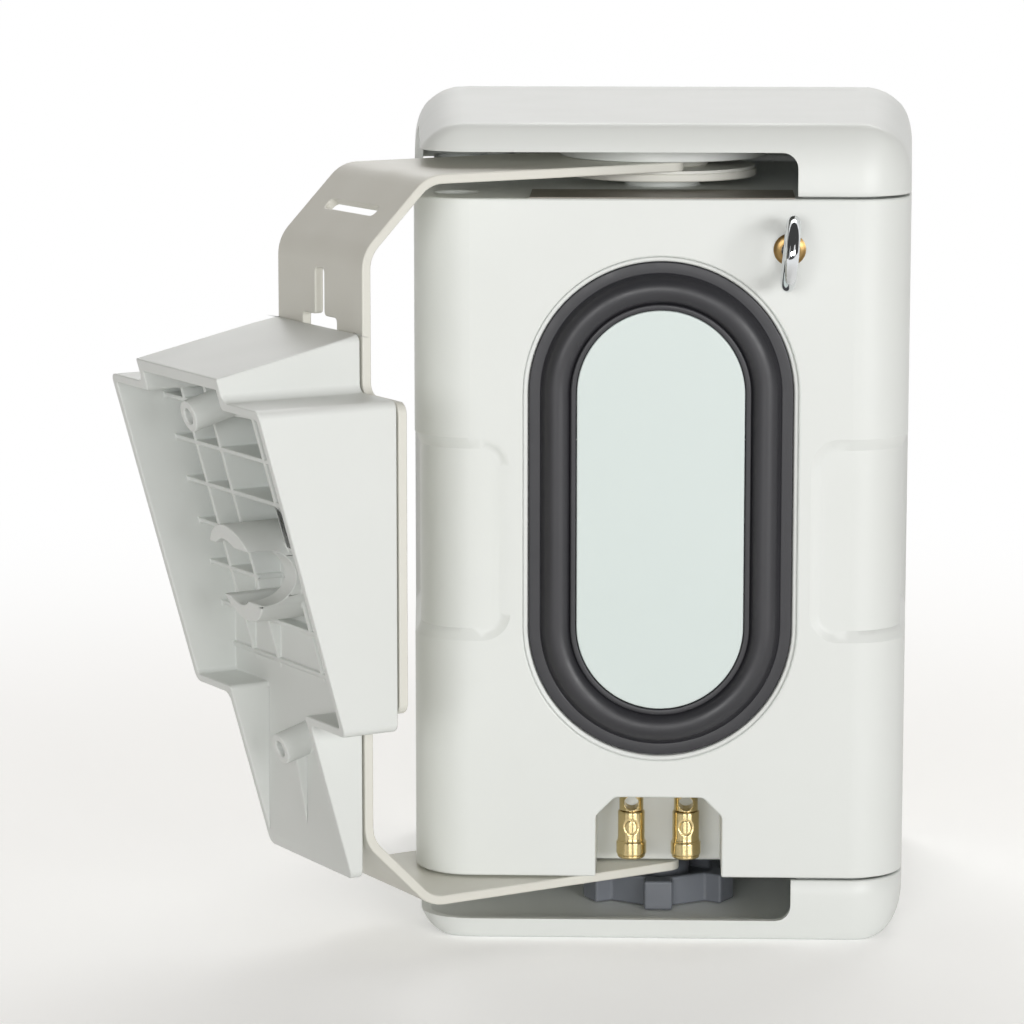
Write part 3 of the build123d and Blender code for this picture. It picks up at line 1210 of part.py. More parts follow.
PARTS = {
    "cabinet_shell": make_cabinet_shell,
    "top_cap": make_top_cap,
    "bottom_cap": make_bottom_cap,
    "cap_screws": make_cap_screws,
    "front_baffle": make_front_baffle,
    "baffle_gasket": make_baffle_gasket,
    "baffle_screws": make_baffle_screws,
    "driver_screws": make_driver_screws,
    "front_grille": make_front_grille,
    "label_plate": make_label_plate,
    "radiator_surround": make_radiator_surround,
    "radiator_piston": make_radiator_piston,
    "radiator_weight": make_radiator_weight,
    "terminal_post_left": lambda: make_terminal_post(post_places()[1]),
    "terminal_post_right": lambda: make_terminal_post(post_places()[0]),
    "terminal_nut_left": lambda: make_terminal_nut(post_places()[1]),
    "terminal_nut_right": lambda: make_terminal_nut(post_places()[0]),
    "terminal_collars": make_terminal_collars,
    "terminal_hex_nuts": make_terminal_hex_nuts,
    "eye_bolt": make_eye_bolt,
    "eye_insert": make_eye_insert,
    "pivot_pin": make_pivot_pin,
    "pivot_plate": make_pivot_plate,
    "upper_washer": make_upper_washer,
    "lower_washer": make_lower_washer,
    "knob_insert": make_knob_insert,
    "clamp_knob": make_clamp_knob,
    "knob_stud": make_knob_stud,
    "bracket_strap": make_bracket_strap,
    "wall_mount": make_wall_mount,
    "lock_stud": make_lock_stud,
    "woofer_basket": make_woofer_basket,
    "woofer_top_plate": make_woofer_top_plate,
    "woofer_magnet": make_woofer_magnet,
    "woofer_yoke": make_woofer_yoke,
    "voice_coil": make_voice_coil,
    "woofer_cone": make_woofer_cone,
    "dust_cap": make_dust_cap,
    "woofer_surround": make_woofer_surround,
    "woofer_spider": make_woofer_spider,
    "tweeter_faceplate": make_tweeter_faceplate,
    "tweeter_magnet": make_tweeter_magnet,
    "tweeter_dome": make_tweeter_dome,
    "tweeter_surround": make_tweeter_surround,
    "crossover_board": make_crossover_board,
    "crossover_inductor": make_crossover_inductor,
    "crossover_capacitors": make_crossover_capacitors,
    "damping_felt": make_damping_felt,
}

os.makedirs("parts", exist_ok=True)
for name, make in PARTS.items():
    export_step(make(), f"parts/{name}.step")
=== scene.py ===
"""Outdoor patio speaker seen from behind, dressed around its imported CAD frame.

Sizes are in millimetres until a mesh is made. +Z is up, the rear panel faces +Y,
and the origin is where the swivel axis of the bracket meets the base.
"""
import math

import bmesh
import bpy
import numpy as np
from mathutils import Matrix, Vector


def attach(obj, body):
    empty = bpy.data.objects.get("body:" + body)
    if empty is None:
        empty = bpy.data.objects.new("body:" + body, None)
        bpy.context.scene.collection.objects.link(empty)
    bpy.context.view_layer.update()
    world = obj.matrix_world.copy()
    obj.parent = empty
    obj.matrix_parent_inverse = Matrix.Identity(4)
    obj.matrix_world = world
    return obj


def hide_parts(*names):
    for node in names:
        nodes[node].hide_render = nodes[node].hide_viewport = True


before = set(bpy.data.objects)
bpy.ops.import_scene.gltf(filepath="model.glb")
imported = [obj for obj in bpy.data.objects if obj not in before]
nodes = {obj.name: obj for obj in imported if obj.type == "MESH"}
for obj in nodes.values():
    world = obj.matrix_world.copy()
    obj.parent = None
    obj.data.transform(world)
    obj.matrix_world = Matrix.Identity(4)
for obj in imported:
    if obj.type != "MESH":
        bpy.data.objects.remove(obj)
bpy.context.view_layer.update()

MM = 0.001

# Enclosure plan
REAR_HALF = 84.25
FRONT_HALF = 93.5
REAR_Y = 58.0
FRONT_Y = -107.0
REAR_CORNER = 20.0
FRONT_CORNER = 5.0

# Caps
CAP_WALL = 3.0
CAP_EDGE = 3.2
CAP_BLEND = 2.5
CAP_CORNER_BLEND = 8.0
CAP_REACH = 16.5
RECESS_END_X = -46.0
RECESS_FRONT_Y = -68.0
RECESS_ROUND = 5.5
LIP_ROUND = 0.4
CAP_REAR_ROUND = 27.0
TOP_CAP = {"open": 260.0, "closed": 284.0, "rise": 2.5, "side": 18.0, "rear": 19.0,
           "recess": 274.7, "bosses": (259.1, 282.5)}
BOTTOM_CAP = {"open": 22.2, "closed": 0.0, "rise": 0.0, "side": 14.0, "rear": 13.0,
              "recess": 7.5, "bosses": (1.0, 23.1)}
CAP_DISC = {"radius": 36.0, "low": 269.55, "high": 282.0}
CAP_BOSS_RADIUS = 5.0
CAP_BOSS_PLACES = ((-66.0, 30.0), (-66.0, -40.0), (-23.0, -76.0), (60.0, -76.0))

# Steps along the plan and across a cap's skin
PLAN_STEP = 6.0
PLAN_START_GAP = 4.0
PLAN_END_GAP = 3.9
EASE_POINTS = 8
REAR_CORNER_POINTS = 15
FRONT_CORNER_POINTS = 8
SKIN_SEARCH_POINTS = 400
SKIN_BEND_POINTS = 22
SKIN_BEND_SHARE = 0.62
SKIN_ROOF_POINTS = 5
SKIN_ROOF_SHARE = 0.68
LEAST_REARWARD = 0.02

# Rear radiator, in offsets from its upright spine
SPINE_Z = 152.0
SPINE_HALF = 40.45
PISTON_EDGE = 28.7
PISTON_FACE = 58.3
PISTON_BACK = 56.2
PISTON_ROUND = 0.5
PISTON_FLAT = (20.0, 27.6)
SEAT_Y = 54.8
ROLL_OFFSET = 35.7
ROLL_Y = 55.0
ROLL_RADIUS = 5.2
ROLL_SQUASH = 0.98
FLANGE_EDGE = 45.2
FLANGE_FACE = 56.7

# Binding posts
POST_PLACES = {"left": 9.5, "right": -9.5}
POST_Y = 46.0
NUT_BOTTOM = 27.3
NUT_RING_TOP = 33.3
NUT_TOP = 44.1
NUT_BORE = 3.1
NUT_BARREL = 4.7
NUT_TURNS = 160
# (height, radius) points up the outside of a nut
NUT_OUTSIDE = (
    (27.3, 4.3), (27.5, 4.6), (27.9, 4.85), (28.3, 4.85), (28.5, 4.7), (28.7, 5.1),
    (29.0, 5.25), (32.9, 5.25), (33.1, 5.15), (33.3, 4.85), (33.5, 4.75), (33.8, 4.85),
    (34.2, 4.7), (43.6, 4.7), (43.8, 4.65), (44.1, 4.4))
MARK_Z = 38.9
MARK_RADIUS = 2.5
MARK_WIDTH = 0.28
MARK_DEPTH = 0.3

# Eye bolt and its brass insert
EYE_CENTRE = (-43.3, 72.0, 242.1)
EYE_RING = 10.6
EYE_WIRE = 2.4
EYE_TILT = 5.0
EYE_STEPS = 96
WIRE_STEPS = 32
# (radius, depth) points of the shank's outline
SHANK_OUTLINE = ((0.0, 47.2), (2.3, 47.2), (2.35, 58.0), (2.45, 59.5), (2.7, 60.5),
                 (2.9, 61.2), (0.0, 61.2))
INSERT_BORE = 2.45
INSERT_BARREL = 4.55
INSERT_FLANGE = 5.5
INSERT_BACK = 46.0
INSERT_RISE = 0.97
INSERT_FALL = 0.65

# Hand grips
GRIP_MIDDLE = 141.7
GRIP_HALF = 41.0
GRIP_INNER_X = 50.0

# Drivers behind the grille
BAFFLE_Y = -97.0
CONE_MOUTH_Y = -96.0
WOOFER_Z = 115.1
WOOFER_ROLL = 56.15
WOOFER_ROLL_OUTER = 5.85
WOOFER_ROLL_INNER = 4.45
WOOFER_RIM_INNER = 45.8
WOOFER_RIM_OUTER = 49.7
WOOFER_RIM_GAP = 0.1
WOOFER_TURNS = 96
TWEETER_Z = 216.1
TWEETER_RING_INNER = 12.7
TWEETER_RING_FOOT = 15.1
TWEETER_RING_OUTER = 16.4
TWEETER_RING_FRONT = -95.0
TWEETER_RING_STEP = -94.5
TWEETER_RING_BACK = -94.0
TWEETER_TURNS = 72

# Grille
GRILLE_BOTTOM = 23.7
GRILLE_TOP = 258.5
GRILLE_BACK = -101.0
GRILLE_SHEET = 1.2
HOLE_PITCH = 4.2
HOLE_RADIUS = 1.45
HOLE_SIDES = 12
GRILLE_BORDER = 7.0
GRILLE_FOLD = 2.2
GRILLE_CORNER = 6.0
GRILLE_LEAST_CORNER = 0.5
GRILLE_CORNER_POINTS = 10
SHEET_SETBACK = 0.5

# Welding in metres, and edge angles in degrees
WELD = 1e-6
CAD_WELD = 2e-6
LEAST_EDGE = 1e-7
FLAT_ANGLE = 0.4
SHARP_ANGLE = 32

# Colour sockets of a Mix node, and the period in metres of a Wave texture of scale 1
MIX_FIRST, MIX_SECOND, MIX_RESULT = 6, 7, 2
WAVE_PERIOD = 0.314
QUARTER_TURN = 0.25

# Studio, in metres and watts
CAMERA_PLACE = (-0.002, 1.490, 0.391)
CAMERA_AIM = (0.0369, -1.0, -0.1673)
CAMERA_LENS = 148.9
CAMERA_SENSOR = 36.0
STUDIO_CENTRE = (0.03, 0.0, 0.14)
FLOOR_REACH = 20.0
PAPER_NEAR = 0.25
PAPER_FAR = 0.9
PAPER_GLOW = 0.3
AIR_LIGHT = 0.22
# Lamps: name, place, width, height, power, and whether mirrors show them
SOFTBOXES = (
    ("key", (-1.75, 2.9, 0.62), 1.6, 0.66, 45.0, True),
    ("front", (0.45, 3.2, 0.62), 1.4, 0.66, 33.0, True),
    ("grille_side", (0.5, -3.0, 0.6), 1.8, 0.9, 20.0, False),
    ("overhead", (-0.1, -1.5, 1.7), 1.6, 1.6, 20.0, True))
# Dark cards: name, place, target, width, height
DARK_CARDS = (
    ("card_behind_camera", (0.6, 4.4, 1.4), STUDIO_CENTRE, 5.0, 3.0),
    ("card_left", (3.2, 0.8, 1.4), STUDIO_CENTRE, 4.0, 3.0),
    ("card_right", (-3.2, 0.8, 1.4), STUDIO_CENTRE, 4.0, 3.0),
    ("card_above", (0.0, 1.6, 2.9), (0.0, 1.6, 0.0), 6.4, 5.6),
    ("card_on_floor", (0.0, 2.9, 0.01), (0.0, 2.9, 1.0), 5.0, 3.0))


def hex_linear(code):
    """An sRGB hex colour as linear RGBA."""
    value = np.array([int(code[i:i + 2], 16) for i in (1, 3, 5)]) / 255
    linear = np.where(value <= 0.04045, value / 12.92, ((value + 0.055) / 1.055) ** 2.4)
    return (*linear.tolist(), 1.0)


def add_node(tree, kind, inputs, **settings):
    """Add one node, set its properties, and give each named input a value or a link."""
    node = tree.nodes.new(kind)
    for key, value in settings.items():
        setattr(node, key, value)
    for key, value in inputs.items():
        if isinstance(value, bpy.types.NodeSocket):
            tree.links.new(value, node.inputs[key])
        else:
            node.inputs[key].default_value = value
    return node


def new_material(name):
    """An empty node material with an output, and its object coordinates."""
    material = bpy.data.materials.new(name)
    material.use_nodes = True
    tree = material.node_tree
    tree.nodes.clear()
    output = tree.nodes.new("ShaderNodeOutputMaterial")
    place = tree.nodes.new("ShaderNodeTexCoord").outputs["Object"]
    return material, tree, output, place


def tint_between(tree, factor, dark, light):
    """The colour between two hex colours at a factor."""
    tint = add_node(tree, "ShaderNodeMix", {"Factor": factor}, data_type="RGBA")
    for socket, colour in ((MIX_FIRST, dark), (MIX_SECOND, light)):
        tint.inputs[socket].default_value = hex_linear(colour)
    return tint.outputs[MIX_RESULT]


def grained(name, light, dark, patch_mm, grain_mm, relief_mm, rough, spread, **shader):
    """A surface with slow colour patches, a fine grain in its relief and uneven gloss.

    Colour runs from dark to light with a noise of patch_mm, roughness is rough plus or
    minus spread with a noise three times as fine, and a noise of grain_mm lifts the
    surface by relief_mm.
    """
    material, tree, output, place = new_material(name)
    patch = add_node(tree, "ShaderNodeTexNoise", {
        "Vector": place, "Scale": 1 / (patch_mm * MM), "Detail": 3.0})
    smear = add_node(tree, "ShaderNodeTexNoise", {
        "Vector": place, "Scale": 3 / (patch_mm * MM), "Detail": 2.0})
    gloss = add_node(tree, "ShaderNodeMapRange", {
        "Value": smear.outputs["Fac"], "From Min": 0.3, "From Max": 0.7,
        "To Min": rough - spread, "To Max": rough + spread})
    grain = add_node(tree, "ShaderNodeTexNoise", {
        "Vector": place, "Scale": 1 / (grain_mm * MM), "Detail": 2.0})
    relief = add_node(tree, "ShaderNodeBump", {
        "Height": grain.outputs["Fac"], "Distance": relief_mm * MM, "Strength": 1.0})
    surface = add_node(tree, "ShaderNodeBsdfPrincipled", {
        "Base Color": tint_between(tree, patch.outputs["Fac"], dark, light),
        "Roughness": gloss.outputs["Result"],
        "Normal": relief.outputs["Normal"], **shader})
    tree.links.new(surface.outputs["BSDF"], output.inputs["Surface"])
    return material


def lined(name, light, dark, axis, pitch_mm, relief_mm, rough, **shader):
    """A surface with fine parallel lines across one axis, such as turning or winding marks.

    A sine wave of pitch_mm along the axis, broken a little by noise, tints the colour
    between dark and light and lifts the surface by relief_mm. Where the shader is
    anisotropic, its shine is drawn out across marks that run round the axis.
    """
    material, tree, output, place = new_material(name)
    lines = add_node(tree, "ShaderNodeTexWave", {
        "Vector": place, "Scale": WAVE_PERIOD / (pitch_mm * MM), "Distortion": 0.6,
        "Detail": 1.0, "Detail Scale": 2.0}, bands_direction=axis)
    relief = add_node(tree, "ShaderNodeBump", {
        "Height": lines.outputs["Fac"], "Distance": relief_mm * MM, "Strength": 1.0})
    surface = add_node(tree, "ShaderNodeBsdfPrincipled", {
        "Base Color": tint_between(tree, lines.outputs["Fac"], dark, light), "Roughness": rough,
        "Normal": relief.outputs["Normal"], **shader})
    if "Anisotropic" in shader:
        around = add_node(tree, "ShaderNodeTangent", {}, direction_type="RADIAL", axis=axis)
        tree.links.new(around.outputs["Tangent"], surface.inputs["Tangent"])
        surface.inputs["Anisotropic Rotation"].default_value = QUARTER_TURN
    tree.links.new(surface.outputs["BSDF"], output.inputs["Surface"])
    return material


# Moulded ABS: an even satin skin with the faint spark grain of its mould
moulded_abs = grained(
    "moulded_abs_offwhite", "#E5E8E6", "#E1E4E1",
    patch_mm=60, grain_mm=0.9, relief_mm=0.012, rough=0.42, spread=0.04, IOR=1.53)
# Powder coat on steel: a slightly pebbled, even film
powder_coat = grained(
    "powder_coat_offwhite", "#E4E3DB", "#DEDDD4",
    patch_mm=45, grain_mm=1.3, relief_mm=0.02, rough=0.46, spread=0.05, IOR=1.5)
# Nitrile rubber: nearly black, with a soft broad shine where it bulges
nitrile_rubber = grained(
    "nitrile_rubber_black", "#333337", "#2B2B2F",
    patch_mm=25, grain_mm=0.7, relief_mm=0.01, rough=0.42, spread=0.06, IOR=1.52)
# Polypropylene plate: cool and smooth, a little glossier than the cabinet
piston_plate = grained(
    "polypropylene_plate_pale", "#DBE5E3", "#D7E2E0",
    patch_mm=70, grain_mm=1.0, relief_mm=0.006, rough=0.36, spread=0.03, IOR=1.49)
# Glass-filled nylon: dull grey with a dry mottled skin
filled_nylon = grained(
    "glass_filled_nylon_grey", "#767A81", "#6C7077",
    patch_mm=12, grain_mm=0.8, relief_mm=0.015, rough=0.5, spread=0.06, IOR=1.53)
# Polyester label film: a smooth warm grey
label_film = grained(
    "polyester_film_grey", "#8C867C", "#827C72",
    patch_mm=20, grain_mm=0.6, relief_mm=0.004, rough=0.4, spread=0.04, IOR=1.6)
# Acetal bearing washer: natural white, a little waxy
acetal = grained(
    "acetal_natural", "#E2E2DC", "#DADAD3",
    patch_mm=20, grain_mm=0.8, relief_mm=0.006, rough=0.38, spread=0.04, IOR=1.48)
# Black ABS behind the grille
black_abs = grained(
    "moulded_abs_black", "#1C1C1D", "#161617",
    patch_mm=40, grain_mm=0.9, relief_mm=0.012, rough=0.5, spread=0.05, IOR=1.53)
# Gold plate over turned brass: bright, with the finest turning rings
gold_plate = lined(
    "gold_plate_turned", "#EBD9A8", "#DCC48C", axis="Z",
    pitch_mm=0.5, relief_mm=0.001, rough=0.26, Metallic=1.0, Anisotropic=1.0)
# Bare turned brass: duller and browner
turned_brass = lined(
    "brass_turned", "#93794F", "#7C643E", axis="Y",
    pitch_mm=0.5, relief_mm=0.004, rough=0.3, Metallic=1.0)
# Polished chrome plate
chrome_plate = grained(
    "chrome_plate_polished", "#E2E4E6", "#D9DCDE",
    patch_mm=30, grain_mm=4.0, relief_mm=0.002, rough=0.06, spread=0.015, Metallic=1.0)
# Zinc plated steel: a soft cool metal with cloudy patches
zinc_steel = grained(
    "zinc_plated_steel", "#B9BCC0", "#A6A9AE",
    patch_mm=8, grain_mm=1.0, relief_mm=0.006, rough=0.34, spread=0.08, Metallic=1.0)
# Sintered ferrite: dull charcoal
ferrite = grained(
    "sintered_ferrite", "#3A3A3C", "#2E2E30",
    patch_mm=10, grain_mm=0.9, relief_mm=0.02, rough=0.6, spread=0.06, IOR=2.0)
# Enamelled copper winding: rows of fine wire
copper_winding = lined(
    "enamelled_copper_winding", "#B5673A", "#7A3D20", axis="Z",
    pitch_mm=0.9, relief_mm=0.08, rough=0.3, Metallic=1.0)
# Polypropylene cone: black with a slight sheen
cone_plastic = grained(
    "polypropylene_cone_black", "#242527", "#1C1D1F",
    patch_mm=15, grain_mm=0.9, relief_mm=0.012, rough=0.4, spread=0.05, IOR=1.49)
# Resin-dipped cotton spider: straw coloured cloth
spider_cloth = grained(
    "resin_dipped_cotton", "#B4924E", "#97763A",
    patch_mm=3, grain_mm=0.8, relief_mm=0.05, rough=0.75, spread=0.05, IOR=1.5)
# Anodised aluminium dome
dome_aluminium = grained(
    "anodised_aluminium", "#C4C6CA", "#B8BBC0",
    patch_mm=10, grain_mm=0.8, relief_mm=0.003, rough=0.3, spread=0.04, Metallic=1.0)
# Glass-epoxy board under green solder mask
board_epoxy = grained(
    "glass_epoxy_board", "#2F6B43", "#28603B",
    patch_mm=6, grain_mm=0.8, relief_mm=0.01, rough=0.35, spread=0.05, IOR=1.55)
# Needled polyester felt: soft and fibrous
needled_felt = grained(
    "needled_polyester_felt", "#C4C0B6", "#9E9A90",
    patch_mm=2, grain_mm=0.7, relief_mm=0.25, rough=0.9, spread=0.05, IOR=1.45)

NODE_MATERIALS = {
    "cap_screws": zinc_steel, "baffle_screws": zinc_steel, "driver_screws": zinc_steel,
    "front_baffle": black_abs, "baffle_gasket": nitrile_rubber, "label_plate": label_film,
    "radiator_weight": zinc_steel, "terminal_collars": filled_nylon,
    "terminal_hex_nuts": turned_brass, "pivot_pin": zinc_steel,
    "upper_washer": acetal, "lower_washer": nitrile_rubber, "knob_insert": turned_brass,
    "knob_stud": zinc_steel, "lock_stud": zinc_steel, "woofer_basket": black_abs,
    "woofer_top_plate": zinc_steel, "woofer_magnet": ferrite, "woofer_yoke": zinc_steel,
    "voice_coil": copper_winding, "woofer_cone": cone_plastic, "dust_cap": cone_plastic,
    "woofer_spider": spider_cloth,
    "tweeter_faceplate": black_abs, "tweeter_magnet": ferrite, "tweeter_dome": dome_aluminium,
    "crossover_board": board_epoxy,
    "crossover_inductor": copper_winding, "crossover_capacitors": black_abs,
    "damping_felt": needled_felt,
}
for node_name, node_material in NODE_MATERIALS.items():
    node_mesh = nodes[node_name].data
    node_mesh.materials.clear()
    node_mesh.materials.append(node_material)


def grid_quads(rows, cols, wrap_rows=False, wrap_cols=False):
    """Quads between neighbouring points of a rows by cols grid, as point numbers."""
    i, j = np.meshgrid(np.arange(rows if wrap_rows else rows - 1),
                       np.arange(cols if wrap_cols else cols - 1), indexing="ij")
    i2 = (i + 1) % rows
    j2 = (j + 1) % cols
    quads = np.stack([i * cols + j, i * cols + j2, i2 * cols + j2, i2 * cols + j], -1)
    return quads.reshape(-1, 4)


def outward(points, faces):
    """The faces of a closed shell, turned round if the volume they enclose is negative."""
    volume = 0.0
    for face in faces:
        corner = points[face]
        spokes = np.cross(corner[1:-1], corner[2:])
        volume += float((spokes @ corner[0]).sum())
    return faces if volume > 0 else [face[::-1] for face in faces]


def add_object(name, data, place=(0.0, 0.0, 0.0), aim=None):
    """Put data into the scene as an object, its -Z turned along an aim where one is given."""
    thing = bpy.data.objects.new(name, data)
    thing.location = place
    if aim is not None:
        thing.rotation_euler = Vector(aim).to_track_quat("-Z", "Y").to_euler()
    bpy.context.scene.collection.objects.link(thing)
    return thing


def make_piece(name, shells, material, body, replaced, crease=35.0):
    """Join closed shells of (points in mm, faces) into one object that stands for CAD nodes."""
    points = []
    faces = []
    count = 0
    for shell_points, shell_faces in shells:
        shell_faces = [np.asarray(face) for face in shell_faces]
        points.append(shell_points)
        faces += [(face + count).tolist() for face in outward(shell_points, shell_faces)]
        count += len(shell_points)
    mesh = bpy.data.meshes.new(name)
    mesh.from_pydata((np.concatenate(points) * MM).tolist(), [], faces)
    finish_piece(name, mesh, material, body, replaced, crease)


def finish_piece(name, mesh, material, body, replaced, crease):
    """Weld a mesh, shade it smooth up to a crease angle, and hand it to the frame."""
    form = bmesh.new()
    form.from_mesh(mesh)
    bmesh.ops.remove_doubles(form, verts=form.verts, dist=WELD)
    bmesh.ops.dissolve_degenerate(form, edges=form.edges, dist=LEAST_EDGE)
    form.to_mesh(mesh)
    form.free()
    mesh.shade_smooth()
    mesh.set_sharp_from_angle(angle=math.radians(crease))
    mesh.materials.append(material)
    piece = add_object(name, mesh)
    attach(piece, body)
    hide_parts(*replaced)
    return piece


def softened(name, node, material, body, edge_mm, steps=2, crease=35.0, plain=None):
    """A welded copy of a CAD node whose sharp edges are rounded over by a Bevel modifier.

    plain, where given, tells from the middle of an edge in mm if the edge stays as it is.
    """
    mesh = nodes[node].data.copy()
    mesh.name = name
    mesh.materials.clear()
    form = bmesh.new()
    form.from_mesh(mesh)
    bmesh.ops.remove_doubles(form, verts=form.verts, dist=CAD_WELD)
    bmesh.ops.dissolve_limit(form, angle_limit=math.radians(FLAT_ANGLE), verts=form.verts,
                             edges=form.edges)
    weight = form.edges.layers.float.new("bevel_weight_edge")
    for edge in form.edges:
        middle = (edge.verts[0].co + edge.verts[1].co) / (2 * MM)
        sharp = edge.calc_face_angle(0.0) > math.radians(SHARP_ANGLE)
        edge[weight] = float(sharp and not (plain and plain(middle)))
    form.to_mesh(mesh)
    form.free()
    piece = finish_piece(name, mesh, material, body, (node,), crease)
    bevel = piece.modifiers.new("soft_edges", "BEVEL")
    bevel.width = edge_mm * MM
    bevel.segments = steps
    bevel.limit_method = "WEIGHT"
    bevel.use_clamp_overlap = False
    even = piece.modifiers.new("even_faces", "WEIGHTED_NORMAL")
    even.keep_sharp = True


def in_a_grip(middle):
    """True for a place in the two hand grips, whose slopes are soft as they are."""
    return abs(middle.x) > GRIP_INNER_X and abs(middle.z - GRIP_MIDDLE) < GRIP_HALF


def turned(profile, turns):
    """The sides r cos a and r sin a, the heights and the quads of a turned closed outline.

    The outline is (radius r, height) points, and a runs over evenly spaced angles.
    """
    profile = np.asarray(profile, float)
    angle = np.linspace(0, 2 * np.pi, turns, endpoint=False)
    radius = profile[:, 0][:, None]
    height = np.repeat(profile[:, 1][:, None], turns, 1)
    quads = grid_quads(len(profile), turns, True, True)
    return radius * np.cos(angle), radius * np.sin(angle), height, quads


def lathe(profile, x, y, turns=64):
    """A shell turned about an upright line: (r, z) goes to (x + r cos a, y + r sin a, z)."""
    cosine, sine, height, quads = turned(profile, turns)
    return np.stack([x + cosine, y + sine, height], -1).reshape(-1, 3), quads


def turned_along_y(profile, x, z, turns=48):
    """A shell turned about a line along Y: (r, y) goes to (x + r cos a, y, z + r sin a)."""
    cosine, sine, depth, quads = turned(profile, turns)
    return np.stack([x + cosine, depth, z + sine], -1).reshape(-1, 3), quads


def arc(centre, radius, start, end, count):
    """Points on a circle between two angles in degrees."""
    angle = np.radians(np.linspace(start, end, count))
    return np.stack([centre[0] + radius * np.cos(angle), centre[1] + radius * np.sin(angle)], -1)


def plan_path():
    """The rounded, flared plan as points, inward normals and marks of the open recess stretch.

    The path starts where the recess begins on the rear edge, runs along the open rear and
    +X side, and comes back round the closed front and -X side. Corners are arcs whose
    centres lie one radius inside both edges.
    """
    lean = (FRONT_HALF - REAR_HALF) / (REAR_Y - FRONT_Y)
    tilt = math.atan(lean)
    side_normal = np.array([-math.cos(tilt), -math.sin(tilt)])

    def corner(y_edge, radius, toward):
        # Centre of the corner arc on the +X side
        y = y_edge - toward * radius
        x = REAR_HALF + lean * (REAR_Y - y) - radius / math.cos(tilt)
        return np.array([x, y])

    rear = corner(REAR_Y, REAR_CORNER, 1)
    front = corner(FRONT_Y, FRONT_CORNER, -1)
    rear_side = rear - side_normal * REAR_CORNER
    front_side = front - side_normal * FRONT_CORNER
    tilt_deg = math.degrees(tilt)
    break_side = np.array([REAR_HALF + lean * (REAR_Y - RECESS_FRONT_Y), RECESS_FRONT_Y])
    ease = RECESS_ROUND * (1 - np.cos(np.linspace(0, np.pi / 2, EASE_POINTS)))

    def line(start, end, distances):
        direction = (end - start) / np.linalg.norm(end - start)
        return start + np.asarray(distances)[:, None] * direction

    def steps(length, ease_start=False, ease_end=False):
        inner = np.arange(RECESS_ROUND + PLAN_START_GAP, length - RECESS_ROUND - PLAN_END_GAP,
                          PLAN_STEP)
        parts = [ease if ease_start else [0.0], inner]
        parts.append(length - ease[::-1] if ease_end else [length])
        return np.concatenate(parts)

    begin = np.array([RECESS_END_X, REAR_Y])
    legs = []
    rear_end = np.array([rear[0], REAR_Y])
    legs.append((line(begin, rear_end, steps(rear_end[0] - begin[0], True)), (0, -1), True))
    rear_arc = arc(rear, REAR_CORNER, 90, tilt_deg, REAR_CORNER_POINTS)
    front_arc = arc(front, FRONT_CORNER, tilt_deg, -90, FRONT_CORNER_POINTS)
    legs.append((rear_arc, rear, True))
    length = np.linalg.norm(break_side - rear_side)
    legs.append((line(rear_side, break_side, steps(length, False, True)), side_normal, True))
    length = np.linalg.norm(front_side - break_side)
    legs.append((line(break_side, front_side, steps(length)), side_normal, False))
    legs.append((front_arc, front, False))
    mirror = np.array([-1.0, 1.0])
    legs.append((line(front + (0, -FRONT_CORNER), front * mirror + (0, -FRONT_CORNER),
                      steps(2 * front[0])), (0, 1), False))
    legs.append((front_arc[::-1] * mirror, front * mirror, False))
    length = np.linalg.norm(rear_side - front_side)
    legs.append((line(front_side * mirror, rear_side * mirror, steps(length)),
                 side_normal * mirror, False))
    legs.append((rear_arc[::-1] * mirror, rear * mirror, False))
    length = RECESS_END_X + rear[0]
    legs.append((line(rear_end * mirror, begin, steps(length)), (0, -1), False))
    points, normals, opened = [], [], []
    for leg_points, normal, is_open in legs:
        normal = np.asarray(normal, float)
        if abs(np.linalg.norm(normal) - 1) < 1e-6:
            leg_normals = np.repeat(normal[None], len(leg_points), 0)
        else:
            leg_normals = normal - leg_points
            leg_normals /= np.linalg.norm(leg_normals, axis=1)[:, None]
        points.append(leg_points)
        normals.append(leg_normals)
        opened.append(np.full(len(leg_points), is_open))
    return np.concatenate(points), np.concatenate(normals), np.concatenate(opened)


def quarter_drop(radius, inside):
    """How far a quarter round of a radius falls at a distance inside its outer edge."""
    reach = np.clip(radius - np.clip(inside, 0, None), 0, radius)
    return radius - np.sqrt(radius ** 2 - reach ** 2)


def greater_softly(first, second, blend):
    """The greater of two falls, rounded over within a blend of where they cross."""
    share = np.clip(0.5 + 0.5 * (first - second) / blend, 0, 1)
    return second + (first - second) * share + blend * share * (1 - share)


